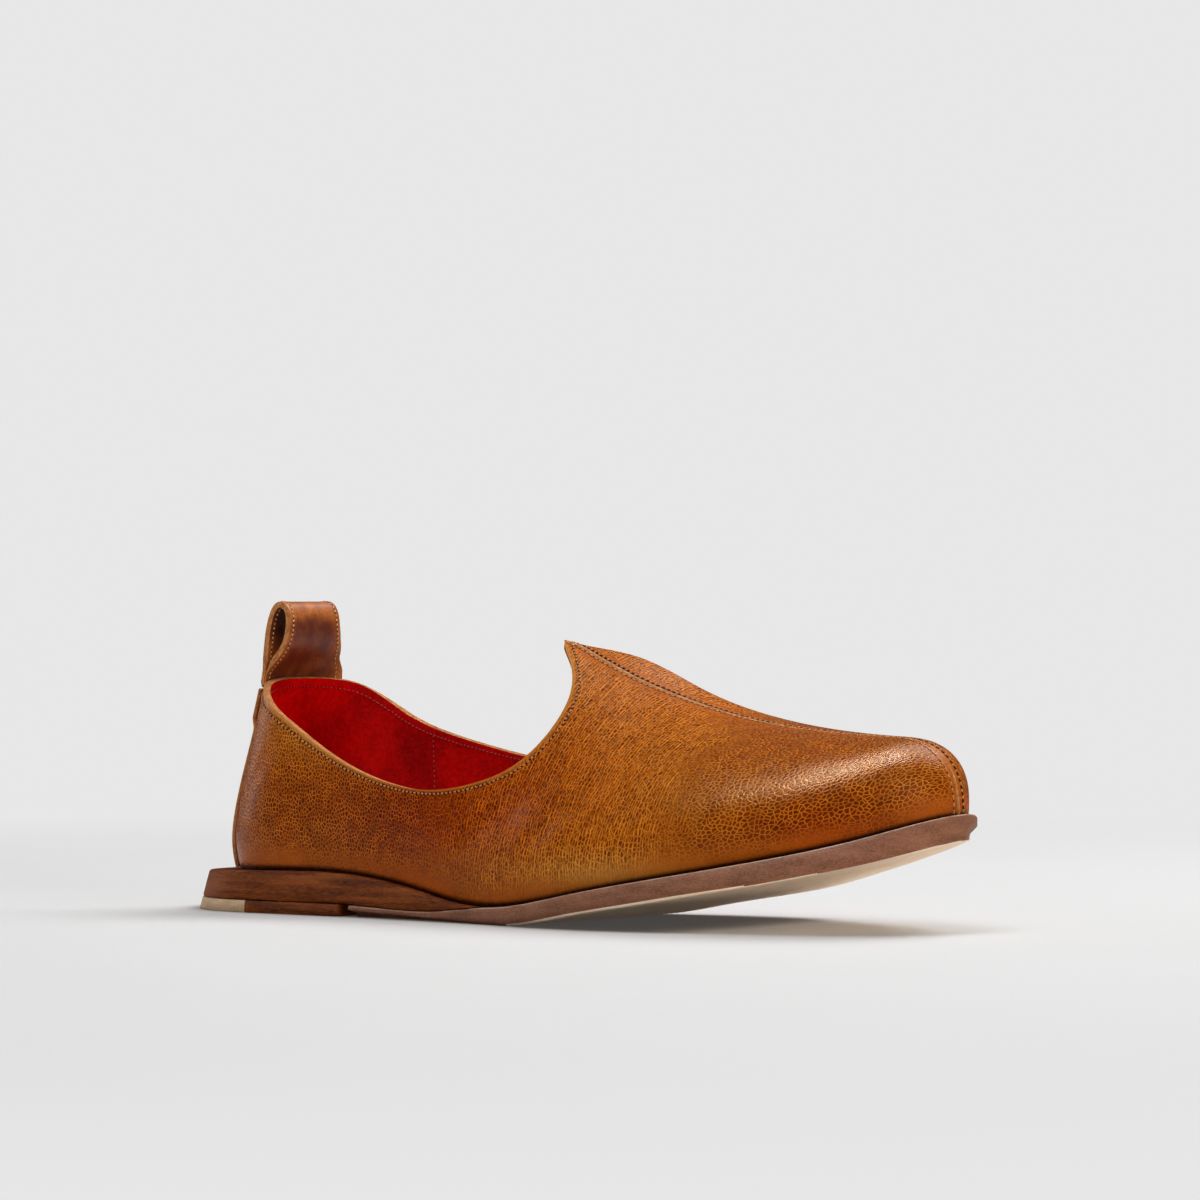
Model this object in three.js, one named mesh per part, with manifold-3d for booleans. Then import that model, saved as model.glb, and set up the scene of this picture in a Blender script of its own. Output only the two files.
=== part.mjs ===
// Mojari loafer for the right foot: a low slip-on with a pointed throat, a seam down the middle of the
// vamp, a pull loop at the heel and a leather sole that curls up at the toe.
// Millimetres, +Z up, toe towards +X, the wearer's left (the inner side of this foot) towards +Y.
// Inside the shoe's own group x runs from the back edge of the heel to the tip of the sole.

import * as THREE from "three";
import { mergeVertices } from "three/addons/utils/BufferGeometryUtils.js";
import Module from "manifold-3d";

const wasm = await Module();
wasm.setup();

// Driving dimensions
const SOLE_LENGTH = 292;
const LATERAL = -1; // the outer side of this foot
const MEDIAL = 1; // the inner side of this foot
const GAP = 0.3; // between pieces that meet
const WALL = 2.2; // leather and lining of the upper together
const STRAP = 2.0; // doubled and edge-stitched strap of the pull loop
const STRAP_OUTER = 16.5; // half-widths of that strap at the collar
const STRAP_INNER = 17.6;
const STRAP_TOP = 13; // half-width at the top of the loop
const STRAP_TWIST = 0.12; // x lost across the loop towards the inner side, for each y
const TAIL = 0.5; // each end of that strap, skived thin under the back strip
const STRIP = 1.3; // leather strip that covers the back seam
const STRIP_TOP_Z = 72.5;
const BACK_LEG = 1.8; // what the strap's back leg stands off the upper above that strip
const INSOLE = 2.6;
const INSOLE_CLEAR = 0.6; // between the insole and the wall of the upper
const LIFT = 3.9; // top of the heel's bottom lift above the floor
const BREAST_X = 77.5; // front face of the heel's bottom lift
const OUTSOLE_START_X = 82; // back end of the outsole, clear of the breast
const WEDGE_END_X = 136; // where the heel wedge has run out to nothing
const UPPER_TIP_X = 289; // foremost point of the upper
const THROAT_X = 141; // tip of the pointed throat
const TOE_SWING = 4; // how far the toe swings to the inner side
const SWING_START_X = 150;
const HEEL_TURN = 0.08; // how far the heel's own axis is turned outwards: x gained for each y
const TURN_END_X = 100;

// Sole outline at the floor: distance from the centre line to each edge, before the ends are rounded
const PLAN = [
  { x: 0, lateral: 37.0, medial: 36.5 },
  { x: 40, lateral: 38.0, medial: 37.0 },
  { x: 75, lateral: 38.0, medial: 34.5 },
  { x: 105, lateral: 39.0, medial: 32.5 },
  { x: 130, lateral: 42.0, medial: 33.5 },
  { x: 155, lateral: 46.5, medial: 38.5 },
  { x: 180, lateral: 50.0, medial: 44.0 },
  { x: 200, lateral: 50.5, medial: 47.0 },
  { x: 222, lateral: 48.5, medial: 47.0 },
  { x: 245, lateral: 43.0, medial: 42.2 },
  { x: 268, lateral: 36.0, medial: 34.0 },
  { x: 292, lateral: 30.0, medial: 24.0 },
];

// Sole in side view: feather is where the upper meets the sole, ledge how far the sole stands out past
// the widest part of the upper, bulge the height of that widest part above the feather
const SIDE = [
  { x: 0, feather: 12.6, ledge: 6.5, bulge: 17, tuck: 0.07 },
  { x: 40, feather: 13.7, ledge: 6.3, bulge: 17, tuck: 0.06 },
  { x: 72, feather: 13.9, ledge: 5.0, bulge: 18, tuck: 0.06 },
  { x: 92, feather: 12.2, ledge: 3.4, bulge: 18, tuck: 0.06 },
  { x: 112, feather: 8.9, ledge: 2.2, bulge: 18, tuck: 0.06 },
  { x: 128, feather: 6.2, ledge: 1.6, bulge: 17, tuck: 0.06 },
  { x: 142, feather: 5.6, ledge: 1.5, bulge: 16, tuck: 0.06 },
  { x: 158, feather: 7.1, ledge: 1.7, bulge: 15, tuck: 0.06 },
  { x: 180, feather: 11.2, ledge: 2.0, bulge: 13, tuck: 0.06 },
  { x: 210, feather: 16.6, ledge: 2.3, bulge: 11.5, tuck: 0.06 },
  { x: 245, feather: 23.0, ledge: 2.6, bulge: 10, tuck: 0.06 },
  { x: 270, feather: 29.0, ledge: 2.8, bulge: 9, tuck: 0.05 },
  { x: 292, feather: 37.0, ledge: 2.9, bulge: 8, tuck: 0.05 },
];

// Underside of the outsole from where it leaves the floor, at its outer and its inner edge, and its top
// under the heel wedge
const ROLL_X = 152;
const ROCKER = [
  { x: 140, lateral: 0.0, medial: 0.0 },
  { x: 152, lateral: 0.1, medial: 0.1 },
  { x: 162, lateral: 1.2, medial: 1.3 },
  { x: 175, lateral: 3.6, medial: 3.8 },
  { x: 200, lateral: 7.8, medial: 8.1 },
  { x: 215, lateral: 10.4, medial: 11.2 },
  { x: 230, lateral: 12.9, medial: 15.2 },
  { x: 245, lateral: 15.5, medial: 19.2 },
  { x: 260, lateral: 18.6, medial: 23.2 },
  { x: 275, lateral: 22.5, medial: 26.4 },
  { x: 292, lateral: 29.0, medial: 29.2 },
];
const WAIST = [
  { x: 78, top: 3.9, edgeIn: 5.0, edgeUp: 2.6 },
  { x: 100, top: 3.1, edgeIn: 5.0, edgeUp: 1.6 },
  { x: 118, top: 3.1, edgeIn: 4.0, edgeUp: 1.1 },
  { x: 130, top: 4.2, edgeIn: 2.4, edgeUp: 0.9 },
  { x: 142, top: 5.3, edgeIn: 1.2, edgeUp: 0.9 },
];

// Instep: height of the last's crest, the two powers that round its cross-section, and how far the
// crest stands to the inner side of the centre line
const INSTEP = [
  { x: 0, ridge: 130, fall: 2.4, spread: 2.0, crest: 0 },
  { x: 60, ridge: 119, fall: 2.4, spread: 2.0, crest: 0 },
  { x: 110, ridge: 102, fall: 1.8, spread: 1.7, crest: 0 },
  { x: 141, ridge: 88.6, fall: 1.35, spread: 1.5, crest: 0 },
  { x: 163, ridge: 83.8, fall: 1.5, spread: 1.42, crest: 7.5 },
  { x: 187, ridge: 73.9, fall: 1.65, spread: 1.5, crest: 8.5 },
  { x: 216, ridge: 65.2, fall: 1.9, spread: 1.8, crest: 5.5 },
  { x: 250, ridge: 60.7, fall: 2.2, spread: 2.1, crest: 1.5 },
  { x: 275, ridge: 59.4, fall: 2.3, spread: 2.2, crest: 0 },
  { x: 292, ridge: 58.5, fall: 2.3, spread: 2.2, crest: 0 },
];

// Back seam of the upper in side view
const HEEL_CURVE = [
  { z: 10, x: 15.4 },
  { z: 20, x: 13.2 },
  { z: 30, x: 14.2 },
  { z: 42, x: 17.6 },
  { z: 56, x: 22.4 },
  { z: 68, x: 26.2 },
  { z: 80, x: 29.4 },
];

// Collar from the back seam to the tip of the throat: height on the outer and the inner side
const COLLAR = [
  { x: 28.5, lateral: 76.2, medial: 76.2 }, // x is set to lie on the back seam
  { x: 32.6, lateral: 74.4, medial: 75.0 },
  { x: 40, lateral: 69.7, medial: 70.7 },
  { x: 52, lateral: 62.3, medial: 63.9 },
  { x: 69, lateral: 52.5, medial: 58.0 },
  { x: 85, lateral: 46.0, medial: 54.3 },
  { x: 100, lateral: 42.5, medial: 51.4 },
  { x: 116, lateral: 41.4, medial: 49.2 },
  { x: 132, lateral: 43.9, medial: 48.8 },
  { x: 147, lateral: 50.3, medial: 53.0 },
  { x: 154.5, lateral: 59.3, medial: 60.8 },
  { x: 155.8, lateral: 70.0, medial: 70.4 },
  { x: 151.5, lateral: 78.5, medial: 78.5 },
  { x: 141, lateral: 88.6, medial: 88.6 },
];

// How squarely the ends are rounded: the x where rounding begins and the power of the curve
const SOLE_HEEL = { from: 37, power: 2.0 };
const UPPER_HEEL = { from: 50, power: 2.2 };
const SOLE_TOE = { from: 250, power: 2.1 };
const UPPER_TOE = { from: 248, power: 2.2 };
const TOE_CAP = { from: 268, power: 2.7 }; // in side view
const TOE_PARE = { from: 262, depth: 3.4 }; // lower edge of the sole, pared away round the toe
const HEEL_FLARE = 0.25; // sideways spread of the heel for each millimetre down
const FLARE_END_X = 115;

// Small helpers
const TINY = 1e-6;
const clamp01 = (value) => Math.min(1, Math.max(0, value));
const mix = (a, b, share) => a + (b - a) * share;
const ease = (value) => clamp01(value) ** 2 * (3 - 2 * clamp01(value));

// A quarter of a rounded square: 1 until the rounding begins, 0 at its end.
const rounding = (share, power) => (1 - clamp01(share) ** power) ** (1 / power);

// A smooth curve through the rows of a table, as a thin batten bends round pins (a natural cubic spline).
function batten(rows, across, up) {
  const at = rows.map((row) => row[across]);
  const value = rows.map((row) => row[up]);
  const last = rows.length - 1;
  const bend = new Array(last + 1).fill(0);
  const load = new Array(last + 1).fill(0);
  for (let i = 1; i < last; i++) {
    const before = at[i] - at[i - 1];
    const after = at[i + 1] - at[i];
    const share = before / (before + after);
    const pivot = share * bend[i - 1] + 2;
    const turn = (value[i + 1] - value[i]) / after - (value[i] - value[i - 1]) / before;
    bend[i] = (share - 1) / pivot;
    load[i] = ((6 * turn) / (before + after) - share * load[i - 1]) / pivot;
  }
  for (let i = last - 1; i >= 0; i--) bend[i] = bend[i] * bend[i + 1] + load[i];
  return (wanted) => {
    let i = 1;
    while (i < last && wanted > at[i]) i++;
    const step = at[i] - at[i - 1];
    const left = (at[i] - wanted) / step;
    const right = 1 - left;
    const sag = (left ** 3 - left) * bend[i - 1] + (right ** 3 - right) * bend[i];
    return left * value[i - 1] + right * value[i] + (sag * step * step) / 6;
  };
}

const feather = batten(SIDE, "x", "feather");
const ledge = batten(SIDE, "x", "ledge");
const bulge = batten(SIDE, "x", "bulge");
const tuck = batten(SIDE, "x", "tuck");
const instep = batten(INSTEP, "x", "ridge");
const fall = batten(INSTEP, "x", "fall");
const spread = batten(INSTEP, "x", "spread");
const crest = batten(INSTEP, "x", "crest");
const heelX = batten(HEEL_CURVE, "z", "x");
const planWidth = {
  [LATERAL]: batten(PLAN, "x", "lateral"),
  [MEDIAL]: batten(PLAN, "x", "medial"),
};
const rocker = {
  [LATERAL]: batten(ROCKER, "x", "lateral"),
  [MEDIAL]: batten(ROCKER, "x", "medial"),
};
const waistTop = batten(WAIST, "x", "top");
const waistEdgeIn = batten(WAIST, "x", "edgeIn");
const waistEdgeUp = batten(WAIST, "x", "edgeUp");

const WAIST_END_X = WAIST[WAIST.length - 1].x;
const centreY = (x) => TOE_SWING * ease((x - SWING_START_X) / (SOLE_LENGTH - SWING_START_X));
const flare = (x) => HEEL_FLARE * (1 - ease((x - BREAST_X) / (FLARE_END_X - BREAST_X)));
const under = (x, side) => (x <= ROLL_X ? 0 : Math.max(0, rocker[side](x)));
const outsoleTop = (x) => (x < WAIST_END_X ? waistTop(x) : feather(x) - GAP);
const toePare = (x) => TOE_PARE.depth * ease((x - TOE_PARE.from) / (SOLE_LENGTH - TOE_PARE.from));
const edgeIn = (x) => waistEdgeIn(Math.min(x, WAIST_END_X)) + toePare(x);
const edgeUp = (x) => waistEdgeUp(Math.min(x, WAIST_END_X)) + toePare(x);

// Half-width of the sole at height z, with its heel and toe rounded.
function soleHalf(side, x, z) {
  const inset = flare(x) * z;
  const heel = rounding((SOLE_HEEL.from - x) / (SOLE_HEEL.from - inset), SOLE_HEEL.power);
  const toe = rounding((x - SOLE_TOE.from) / (SOLE_LENGTH - SOLE_TOE.from), SOLE_TOE.power);
  return (planWidth[side](x) - inset) * heel * toe;
}

// Height of the vamp's centre line, which turns down to the sole at the toe.
const toeCap = (x) => rounding((x - TOE_CAP.from) / (UPPER_TIP_X - TOE_CAP.from), TOE_CAP.power);
const ridge = (x) => mix(feather(x), instep(x), toeCap(x));

// Share of the upper's half-width that is left at height z of the cross-section at x.
function sectionShare(x, z) {
  const low = feather(x);
  const wide = low + bulge(x) * toeCap(x);
  if (z < wide) return 1 - tuck(x) * ((wide - z) / Math.max(wide - low, TINY)) ** 2;
  const rise = clamp01((z - wide) / Math.max(ridge(x) - wide, TINY));
  return (1 - rise ** fall(x)) ** (1 / spread(x));
}

// Half-width of the upper's outer face at the side-view point (x, z), from the centre line.
function upperHalf(side, x, z) {
  const toe = rounding((x - UPPER_TOE.from) / (UPPER_TIP_X - UPPER_TOE.from), UPPER_TOE.power);
  const heelSpan = UPPER_HEEL.from - heelX(z);
  const heel = rounding((UPPER_HEEL.from - x) / heelSpan, UPPER_HEEL.power);
  return (planWidth[side](x) - ledge(x)) * toe * heel * sectionShare(x, z);
}

// Sideways place of the upper's outer face, which leans to the crest as it rises.
function upperY(side, x, z) {
  const lean = crest(x) * (1 - Math.min(1, sectionShare(x, z)));
  return centreY(x) + side * upperHalf(side, x, z) + lean;
}

// A curve in side view through sampled points, walked by share of its length.
const SAMPLES = 80;
function sidePath(pointAt) {
  const points = [];
  for (let i = 0; i <= SAMPLES; i++) {
    const { x, z } = pointAt(i / SAMPLES);
    points.push(new THREE.Vector3(x, 0, z));
  }
  const curve = new THREE.CatmullRomCurve3(points);
  return (share) => curve.getPointAt(clamp01(share));
}

// The foot of the back seam is where the heel curve meets the feather.
let seamFootX = HEEL_CURVE[0].x;
for (let i = 0; i < 6; i++) seamFootX = heelX(feather(seamFootX));
const HEEL_BOTTOM_X = seamFootX;
const HEEL_BOTTOM_Z = feather(HEEL_BOTTOM_X);

// The four edges of one side of the upper, seen from the side.
const COLLAR_BACK_Z = COLLAR[0].lateral;
COLLAR[0].x = heelX(COLLAR_BACK_Z);
const collarLength = [0];
for (let i = 1; i < COLLAR.length; i++) {
  const step = Math.hypot(COLLAR[i].x - COLLAR[i - 1].x, COLLAR[i].lateral - COLLAR[i - 1].lateral);
  collarLength.push(collarLength[i - 1] + step);
}
const collarRows = COLLAR.map((row, i) => ({ ...row, along: collarLength[i] }));
const collarX = batten(collarRows, "along", "x");
const collarHeight = {
  [LATERAL]: batten(collarRows, "along", "lateral"),
  [MEDIAL]: batten(collarRows, "along", "medial"),
};
const COLLAR_END = collarLength[collarLength.length - 1];
const collarEdge = (side) =>
  sidePath((share) => ({
    x: collarX(share * COLLAR_END),
    z: collarHeight[side](share * COLLAR_END),
  }));
const featherEdge = sidePath((share) => {
  const x = mix(HEEL_BOTTOM_X, UPPER_TIP_X, share);
  return { x, z: feather(x) };
});
const heelEdge = sidePath((share) => {
  const z = mix(HEEL_BOTTOM_Z, COLLAR_BACK_Z, share);
  return { x: heelX(z), z };
});
const seamEdge = sidePath((share) => {
  const x = mix(UPPER_TIP_X, THROAT_X, share ** 2.2);
  return { x, z: ridge(x) };
});
const sides = {
  [LATERAL]: collarEdge(LATERAL),
  [MEDIAL]: collarEdge(MEDIAL),
};

// A point on the upper's outer face: along runs from the back seam (0) to the centre seam (1), and up
// from the feather (0) to the collar (1). Between its four edges the side view is a blended patch.
function upperPoint(side, along, up) {
  const s = ease(along);
  const collar = sides[side];
  const low = featherEdge(s);
  const high = collar(s);
  const back = heelEdge(up);
  const front = seamEdge(up);
  const blend = (key) => {
    const ruled = mix(low[key], high[key], up) + mix(back[key], front[key], s);
    const bottom = mix(featherEdge(0)[key], featherEdge(1)[key], s);
    const top = mix(collar(0)[key], collar(1)[key], s);
    return ruled - mix(bottom, top, up);
  };
  const x = blend("x");
  const z = blend("z");
  return new THREE.Vector3(x, upperY(side, x, z), z);
}

// Closed mesh from a grid of points that wraps round both ways.
function closedRing(grid) {
  const columns = grid.length;
  const rows = grid[0].length;
  const geometry = new THREE.BufferGeometry();
  geometry.setAttribute(
    "position",
    new THREE.Float32BufferAttribute(grid.flat().flatMap((p) => p.toArray()), 3),
  );
  const faces = [];
  for (let i = 0; i < columns; i++) {
    for (let j = 0; j < rows; j++) {
      const a = i * rows + j;
      const b = ((i + 1) % columns) * rows + j;
      const c = ((i + 1) % columns) * rows + ((j + 1) % rows);
      const d = i * rows + ((j + 1) % rows);
      faces.push(a, b, c, a, c, d);
    }
  }
  geometry.setIndex(faces);
  return geometry;
}

// Outer face of the upper as columns of points, once round the shoe from the back seam.
const HALF_COLUMNS = 30;
const WALL_ROWS = 16;
const ROW_LEAN = 1.35; // rows crowd towards the feather, where the toe turns down
function upperColumns() {
  const columns = [];
  for (let i = 0; i < 2 * HALF_COLUMNS; i++) {
    const side = i <= HALF_COLUMNS ? LATERAL : MEDIAL;
    const along = i <= HALF_COLUMNS ? i / HALF_COLUMNS : 2 - i / HALF_COLUMNS;
    const column = [];
    for (let j = 0; j <= WALL_ROWS; j++) {
      column.push(upperPoint(side, along, (j / WALL_ROWS) ** ROW_LEAN));
    }
    columns.push(column);
  }
  return columns;
}

// Outward direction at each point of a ring of columns.
function outwards(columns) {
  const count = columns.length;
  return columns.map((column, i) =>
    column.map((point, j) => {
      const next = columns[(i + 1) % count][j];
      const previous = columns[(i + count - 1) % count][j];
      const above = column[Math.min(j + 1, column.length - 1)];
      const below = column[Math.max(j - 1, 0)];
      const round = next.clone().sub(previous);
      return round.cross(above.clone().sub(below)).normalize();
    }),
  );
}

const outerWall = upperColumns();
const outward = outwards(outerWall);
const innerWall = outerWall.map((column, i) =>
  column.map((point, j) => {
    const inside = point.clone().addScaledVector(outward[i][j], -WALL);
    if (j === 0) inside.z = feather(inside.x);
    return inside;
  }),
);

function upperSolid() {
  return closedRing(outerWall.map((column, i) => [...column, ...innerWall[i].slice().reverse()]));
}

// Closed slab from rings of points stacked from the bottom up. Each ring runs from the heel to the toe
// on the outer side and back on the inner side, so its two halves pair up across the sole.
function slab(rings) {
  const count = rings[0].length;
  const geometry = new THREE.BufferGeometry();
  geometry.setAttribute(
    "position",
    new THREE.Float32BufferAttribute(rings.flat().flatMap((p) => p.toArray()), 3),
  );
  const faces = [];
  for (let r = 0; r + 1 < rings.length; r++) {
    for (let i = 0; i < count; i++) {
      const a = r * count + i;
      const b = r * count + ((i + 1) % count);
      faces.push(a, b, b + count, a, b + count, a + count);
    }
  }
  const top = (rings.length - 1) * count;
  for (let i = 0; i + 1 < count / 2; i++) {
    const j = count - 1 - i;
    faces.push(i, j, j - 1, i, j - 1, i + 1);
    faces.push(top + i, top + i + 1, top + j - 1, top + i, top + j - 1, top + j);
  }
  geometry.setIndex(faces);
  return geometry;
}

// Stations along the sole, closer together towards its rounded end.
function stations(from, to, count, roundEnd) {
  const list = [];
  for (let i = 0; i <= count; i++) {
    const share = i / count;
    const back = 1 - Math.cos((share * Math.PI) / 2);
    const front = Math.sin((share * Math.PI) / 2);
    list.push(mix(from, to, roundEnd === "back" ? back : front));
  }
  return list;
}

// One ring of the sole: its edge at height(x, side), moved in by inset(x).
function soleRing(xs, height, inset) {
  const edge = (side) => (x) => {
    const z = height(x, side);
    const half = soleHalf(side, x, z);
    return new THREE.Vector3(x, centreY(x) + side * Math.max(half - inset(x), half * 0.2), z);
  };
  return [...xs.map(edge(LATERAL)), ...xs.map(edge(MEDIAL)).reverse()];
}

const END = 0.05; // the first and last stations stop this short of a rounded end
const EDGE = 0.7; // broken edge of the leather

function outsoleSolid() {
  const xs = stations(OUTSOLE_START_X, SOLE_LENGTH - END, 44, "front");
  return slab([
    soleRing(xs, under, edgeIn),
    soleRing(xs, (x, side) => Math.min(under(x, side) + edgeUp(x), outsoleTop(x) - EDGE), () => 0),
    soleRing(xs, (x) => outsoleTop(x) - EDGE / 2, () => 0),
    soleRing(xs, outsoleTop, () => EDGE),
  ]);
}

function wedgeSolid() {
  const heelBack = flare(0) * feather(0);
  const xs = stations(heelBack + END, WEDGE_END_X, 40, "back");
  const bottom = (x) => (x < OUTSOLE_START_X ? LIFT : outsoleTop(x)) + GAP;
  const top = (x) => Math.max(feather(x) - GAP, bottom(x) + 0.2);
  const edge = (x) => Math.min(EDGE, (top(x) - bottom(x)) / 4);
  return slab([
    soleRing(xs, bottom, () => 0),
    soleRing(xs, (x) => top(x) - edge(x), () => 0),
    soleRing(xs, top, edge),
  ]);
}

// The insole fills the inside of the upper's bottom edge, a little clear of it.
function insoleSolid() {
  const low = innerWall.map((column) => column[0]);
  const count = low.length;
  const ring = (rise) => {
    const points = [];
    for (let i = 1; i < count; i++) {
      if (i === HALF_COLUMNS) continue;
      const heading = low[(i + 1) % count].clone().sub(low[i - 1]).setZ(0).normalize();
      const inward = new THREE.Vector3(-heading.y, heading.x, 0);
      points.push(low[i].clone().addScaledVector(inward, INSOLE_CLEAR).setZ(low[i].z + rise));
    }
    return points;
  };
  return slab([ring(0), ring(INSOLE)]);
}

// manifold-3d solids from closed geometry, and back.
function toManifold(geometry) {
  const plain = geometry.clone();
  plain.deleteAttribute("normal");
  plain.deleteAttribute("uv");
  const merged = mergeVertices(plain, 1e-4);
  return new wasm.Manifold(
    new wasm.Mesh({
      numProp: 3,
      vertProperties: merged.attributes.position.array,
      triVerts: new Uint32Array(merged.index.array),
    }),
  );
}

function fromManifold(solid) {
  const { vertProperties, triVerts } = solid.getMesh();
  const geometry = new THREE.BufferGeometry();
  geometry.setAttribute("position", new THREE.BufferAttribute(vertProperties, 3));
  geometry.setIndex(new THREE.BufferAttribute(triVerts, 1));
  return geometry;
}

// The heel's bottom lift is leather with a pale wear tip let into its back outer corner.
const TIP_LATERAL_X = 40;
const TIP_MEDIAL_X = 22;
function heelLiftParts() {
  const xs = stations(END, BREAST_X, 30, "back");
  const lift = toManifold(
    slab([
      soleRing(xs, () => 0, () => EDGE / 2),
      soleRing(xs, () => EDGE / 2, () => 0),
      soleRing(xs, () => LIFT, () => 0),
    ]),
  );
  const reach = 60;
  const cornerBlock = (shift) => {
    const outline = new THREE.Shape([
      new THREE.Vector2(-reach, -reach),
      new THREE.Vector2(mix(TIP_MEDIAL_X, TIP_LATERAL_X, 0.5 + reach / 76) + shift, -reach),
      new THREE.Vector2(mix(TIP_MEDIAL_X, TIP_LATERAL_X, 0.5 - reach / 76) + shift, reach),
      new THREE.Vector2(-reach, reach),
    ]);
    const block = new THREE.ExtrudeGeometry(outline, { depth: 4 * LIFT, bevelEnabled: false });
    return toManifold(block.translate(0, 0, -LIFT));
  };
  return {
    tip: fromManifold(lift.intersect(cornerBlock(0))),
    lift: fromManifold(lift.subtract(cornerBlock(GAP))),
  };
}

// Back of the heel at height z, y to the side of the back seam, stood off the upper by raise.
function heelBack(y, z, raise) {
  const span = UPPER_HEEL.from - heelX(z);
  const side = y < 0 ? LATERAL : MEDIAL;
  const wide = upperHalf(side, UPPER_HEEL.from, z);
  const depth = (at) => UPPER_HEEL.from - span * rounding(Math.abs(at) / wide, UPPER_HEEL.power);
  const slope = depth(y + 0.5) - depth(y - 0.5);
  const out = new THREE.Vector3(-1, slope, 0).normalize();
  return new THREE.Vector3(depth(y), y, z).addScaledVector(out, raise);
}

const LOOP_TAIL_Z = 66; // the strap's two tails end here, between the upper and the back strip
const LOOP_JOIN_Z = 77; // where the two legs of the loop part
const LOOP_TOP_Z = 101;
const STRIP_STEP = 5; // height over which the back strip climbs on to the tails

// How far the back strip stands off the upper: it rides over the strap's tails near the top.
function stripRaise(z) {
  const over = ease((z - (LOOP_TAIL_Z - 1.5 * STRIP_STEP)) / STRIP_STEP);
  return GAP + over * (2 * TAIL + GAP);
}

function backStripSolid() {
  const STRIP_COLUMNS = 10;
  const STRIP_ROWS = 22;
  const low = HEEL_BOTTOM_Z + 0.2;
  const high = STRIP_TOP_Z;
  const grid = [];
  const point = (column, row, raise) => {
    const y = mix(-STRAP_OUTER, STRAP_INNER, column / STRIP_COLUMNS);
    const z = mix(low, high, row / STRIP_ROWS);
    return heelBack(y, z, stripRaise(z) + raise);
  };
  for (let row = 0; row <= STRIP_ROWS; row++) {
    const ring = [];
    for (let c = 0; c <= STRIP_COLUMNS; c++) ring.push(point(c, row, 0));
    for (let c = STRIP_COLUMNS; c >= 0; c--) ring.push(point(c, row, STRIP));
    grid.push(ring);
  }
  return slab(grid);
}

// Side view of the strap: both tails lie together on the heel, then part round a teardrop.
function pullLoopSolid() {
  const base = heelX(LOOP_JOIN_Z) - GAP;
  const foot = heelX(LOOP_TAIL_Z) - GAP;
  const top = heelX(STRIP_TOP_Z) - GAP;
  const outline = new THREE.Shape();
  outline.moveTo(foot, LOOP_TAIL_Z);
  outline.lineTo(base, LOOP_JOIN_Z);
  outline.bezierCurveTo(base + 2.0, 80.4, base + 9.8, 83.4, base + 9.6, 92.0);
  outline.bezierCurveTo(base + 9.4, 98.4, base + 7.2, LOOP_TOP_Z, base + 4.4, LOOP_TOP_Z);
  outline.bezierCurveTo(base + 1.4, LOOP_TOP_Z, base - 0.4, 97.4, base - 0.6, 92.5);
  outline.bezierCurveTo(base - 0.8, 87.5, base - 1.2, 81, base - 1.5, 78.4);
  outline.lineTo(top - BACK_LEG, STRIP_TOP_Z + 1.6);
  outline.bezierCurveTo(top - BACK_LEG, STRIP_TOP_Z + 1.1, top - 2 * TAIL, STRIP_TOP_Z + 1.1, top - 2 * TAIL, STRIP_TOP_Z + 0.6);
  outline.lineTo(foot - 2 * TAIL, LOOP_TAIL_Z);
  outline.closePath();
  const hole = new THREE.Path();
  const roof = LOOP_TOP_Z - STRAP;
  hole.moveTo(base + 1.2, 81.2);
  hole.bezierCurveTo(base + 1.0, 84, base + 1.2, 88.5, base + 1.4, 92.0);
  hole.bezierCurveTo(base + 1.6, 97.0, base + 2.7, roof, base + 4.4, roof);
  hole.bezierCurveTo(base + 6.1, roof, base + 7.4, 97.0, base + 7.6, 92.0);
  hole.bezierCurveTo(base + 7.8, 86.0, base + 3.0, 83.6, base + 1.2, 81.2);
  outline.holes.push(hole);
  const strap = new THREE.ExtrudeGeometry(outline, {
    depth: 2,
    steps: 8,
    curveSegments: 8,
    bevelEnabled: false,
  });
  // The drawn plane is x and height, so it is stood up and bent round the heel, less so higher up.
  strap.rotateX(Math.PI / 2).translate(0, 1, 0);
  const position = strap.getAttribute("position");
  for (let i = 0; i < position.count; i++) {
    const z = position.getZ(i);
    const rise = z - LOOP_JOIN_Z;
    const outer = mix(STRAP_OUTER, STRAP_TOP, ease(rise / (LOOP_TOP_Z - LOOP_JOIN_Z)));
    const inner = mix(STRAP_INNER, STRAP_TOP, ease(rise / 16));
    const y = position.getY(i) * (position.getY(i) < 0 ? outer : inner);
    const grip = mix(1, 0.05, y < 0 ? ease((rise + 0.5) / 7) : ease((rise - 0.5) / 9));
    const wrap = heelBack(y, Math.min(z, LOOP_JOIN_Z), 0).x - heelX(Math.min(z, LOOP_JOIN_Z));
    const twist = STRAP_TWIST * ease(rise / 6) * (y + outer);
    position.setXYZ(i, position.getX(i) + wrap * grip - twist, y, z);
  }
  return strap;
}

// Materials
const leather = (color, roughness) =>
  new THREE.MeshStandardMaterial({ color, roughness, metalness: 0 });
const TAN = leather(0xa8642a, 0.45);
const STACKED = leather(0x6a3a1e, 0.5);
const EDGE_BROWN = leather(0x70503f, 0.55);
const PALE_TIP = leather(0x9c8468, 0.6);
const RED = leather(0xa80a0c, 0.7);

// Turns the heel's axis a little outwards, fading out towards the waist.
function turnHeel(geometry) {
  const position = geometry.getAttribute("position");
  for (let i = 0; i < position.count; i++) {
    const x = position.getX(i);
    const turn = HEEL_TURN * (1 - ease(x / TURN_END_X));
    position.setX(i, x + turn * position.getY(i));
  }
  return geometry;
}

function piece(name, geometry, material) {
  const mesh = new THREE.Mesh(turnHeel(geometry), material);
  mesh.name = name;
  return mesh;
}

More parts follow.
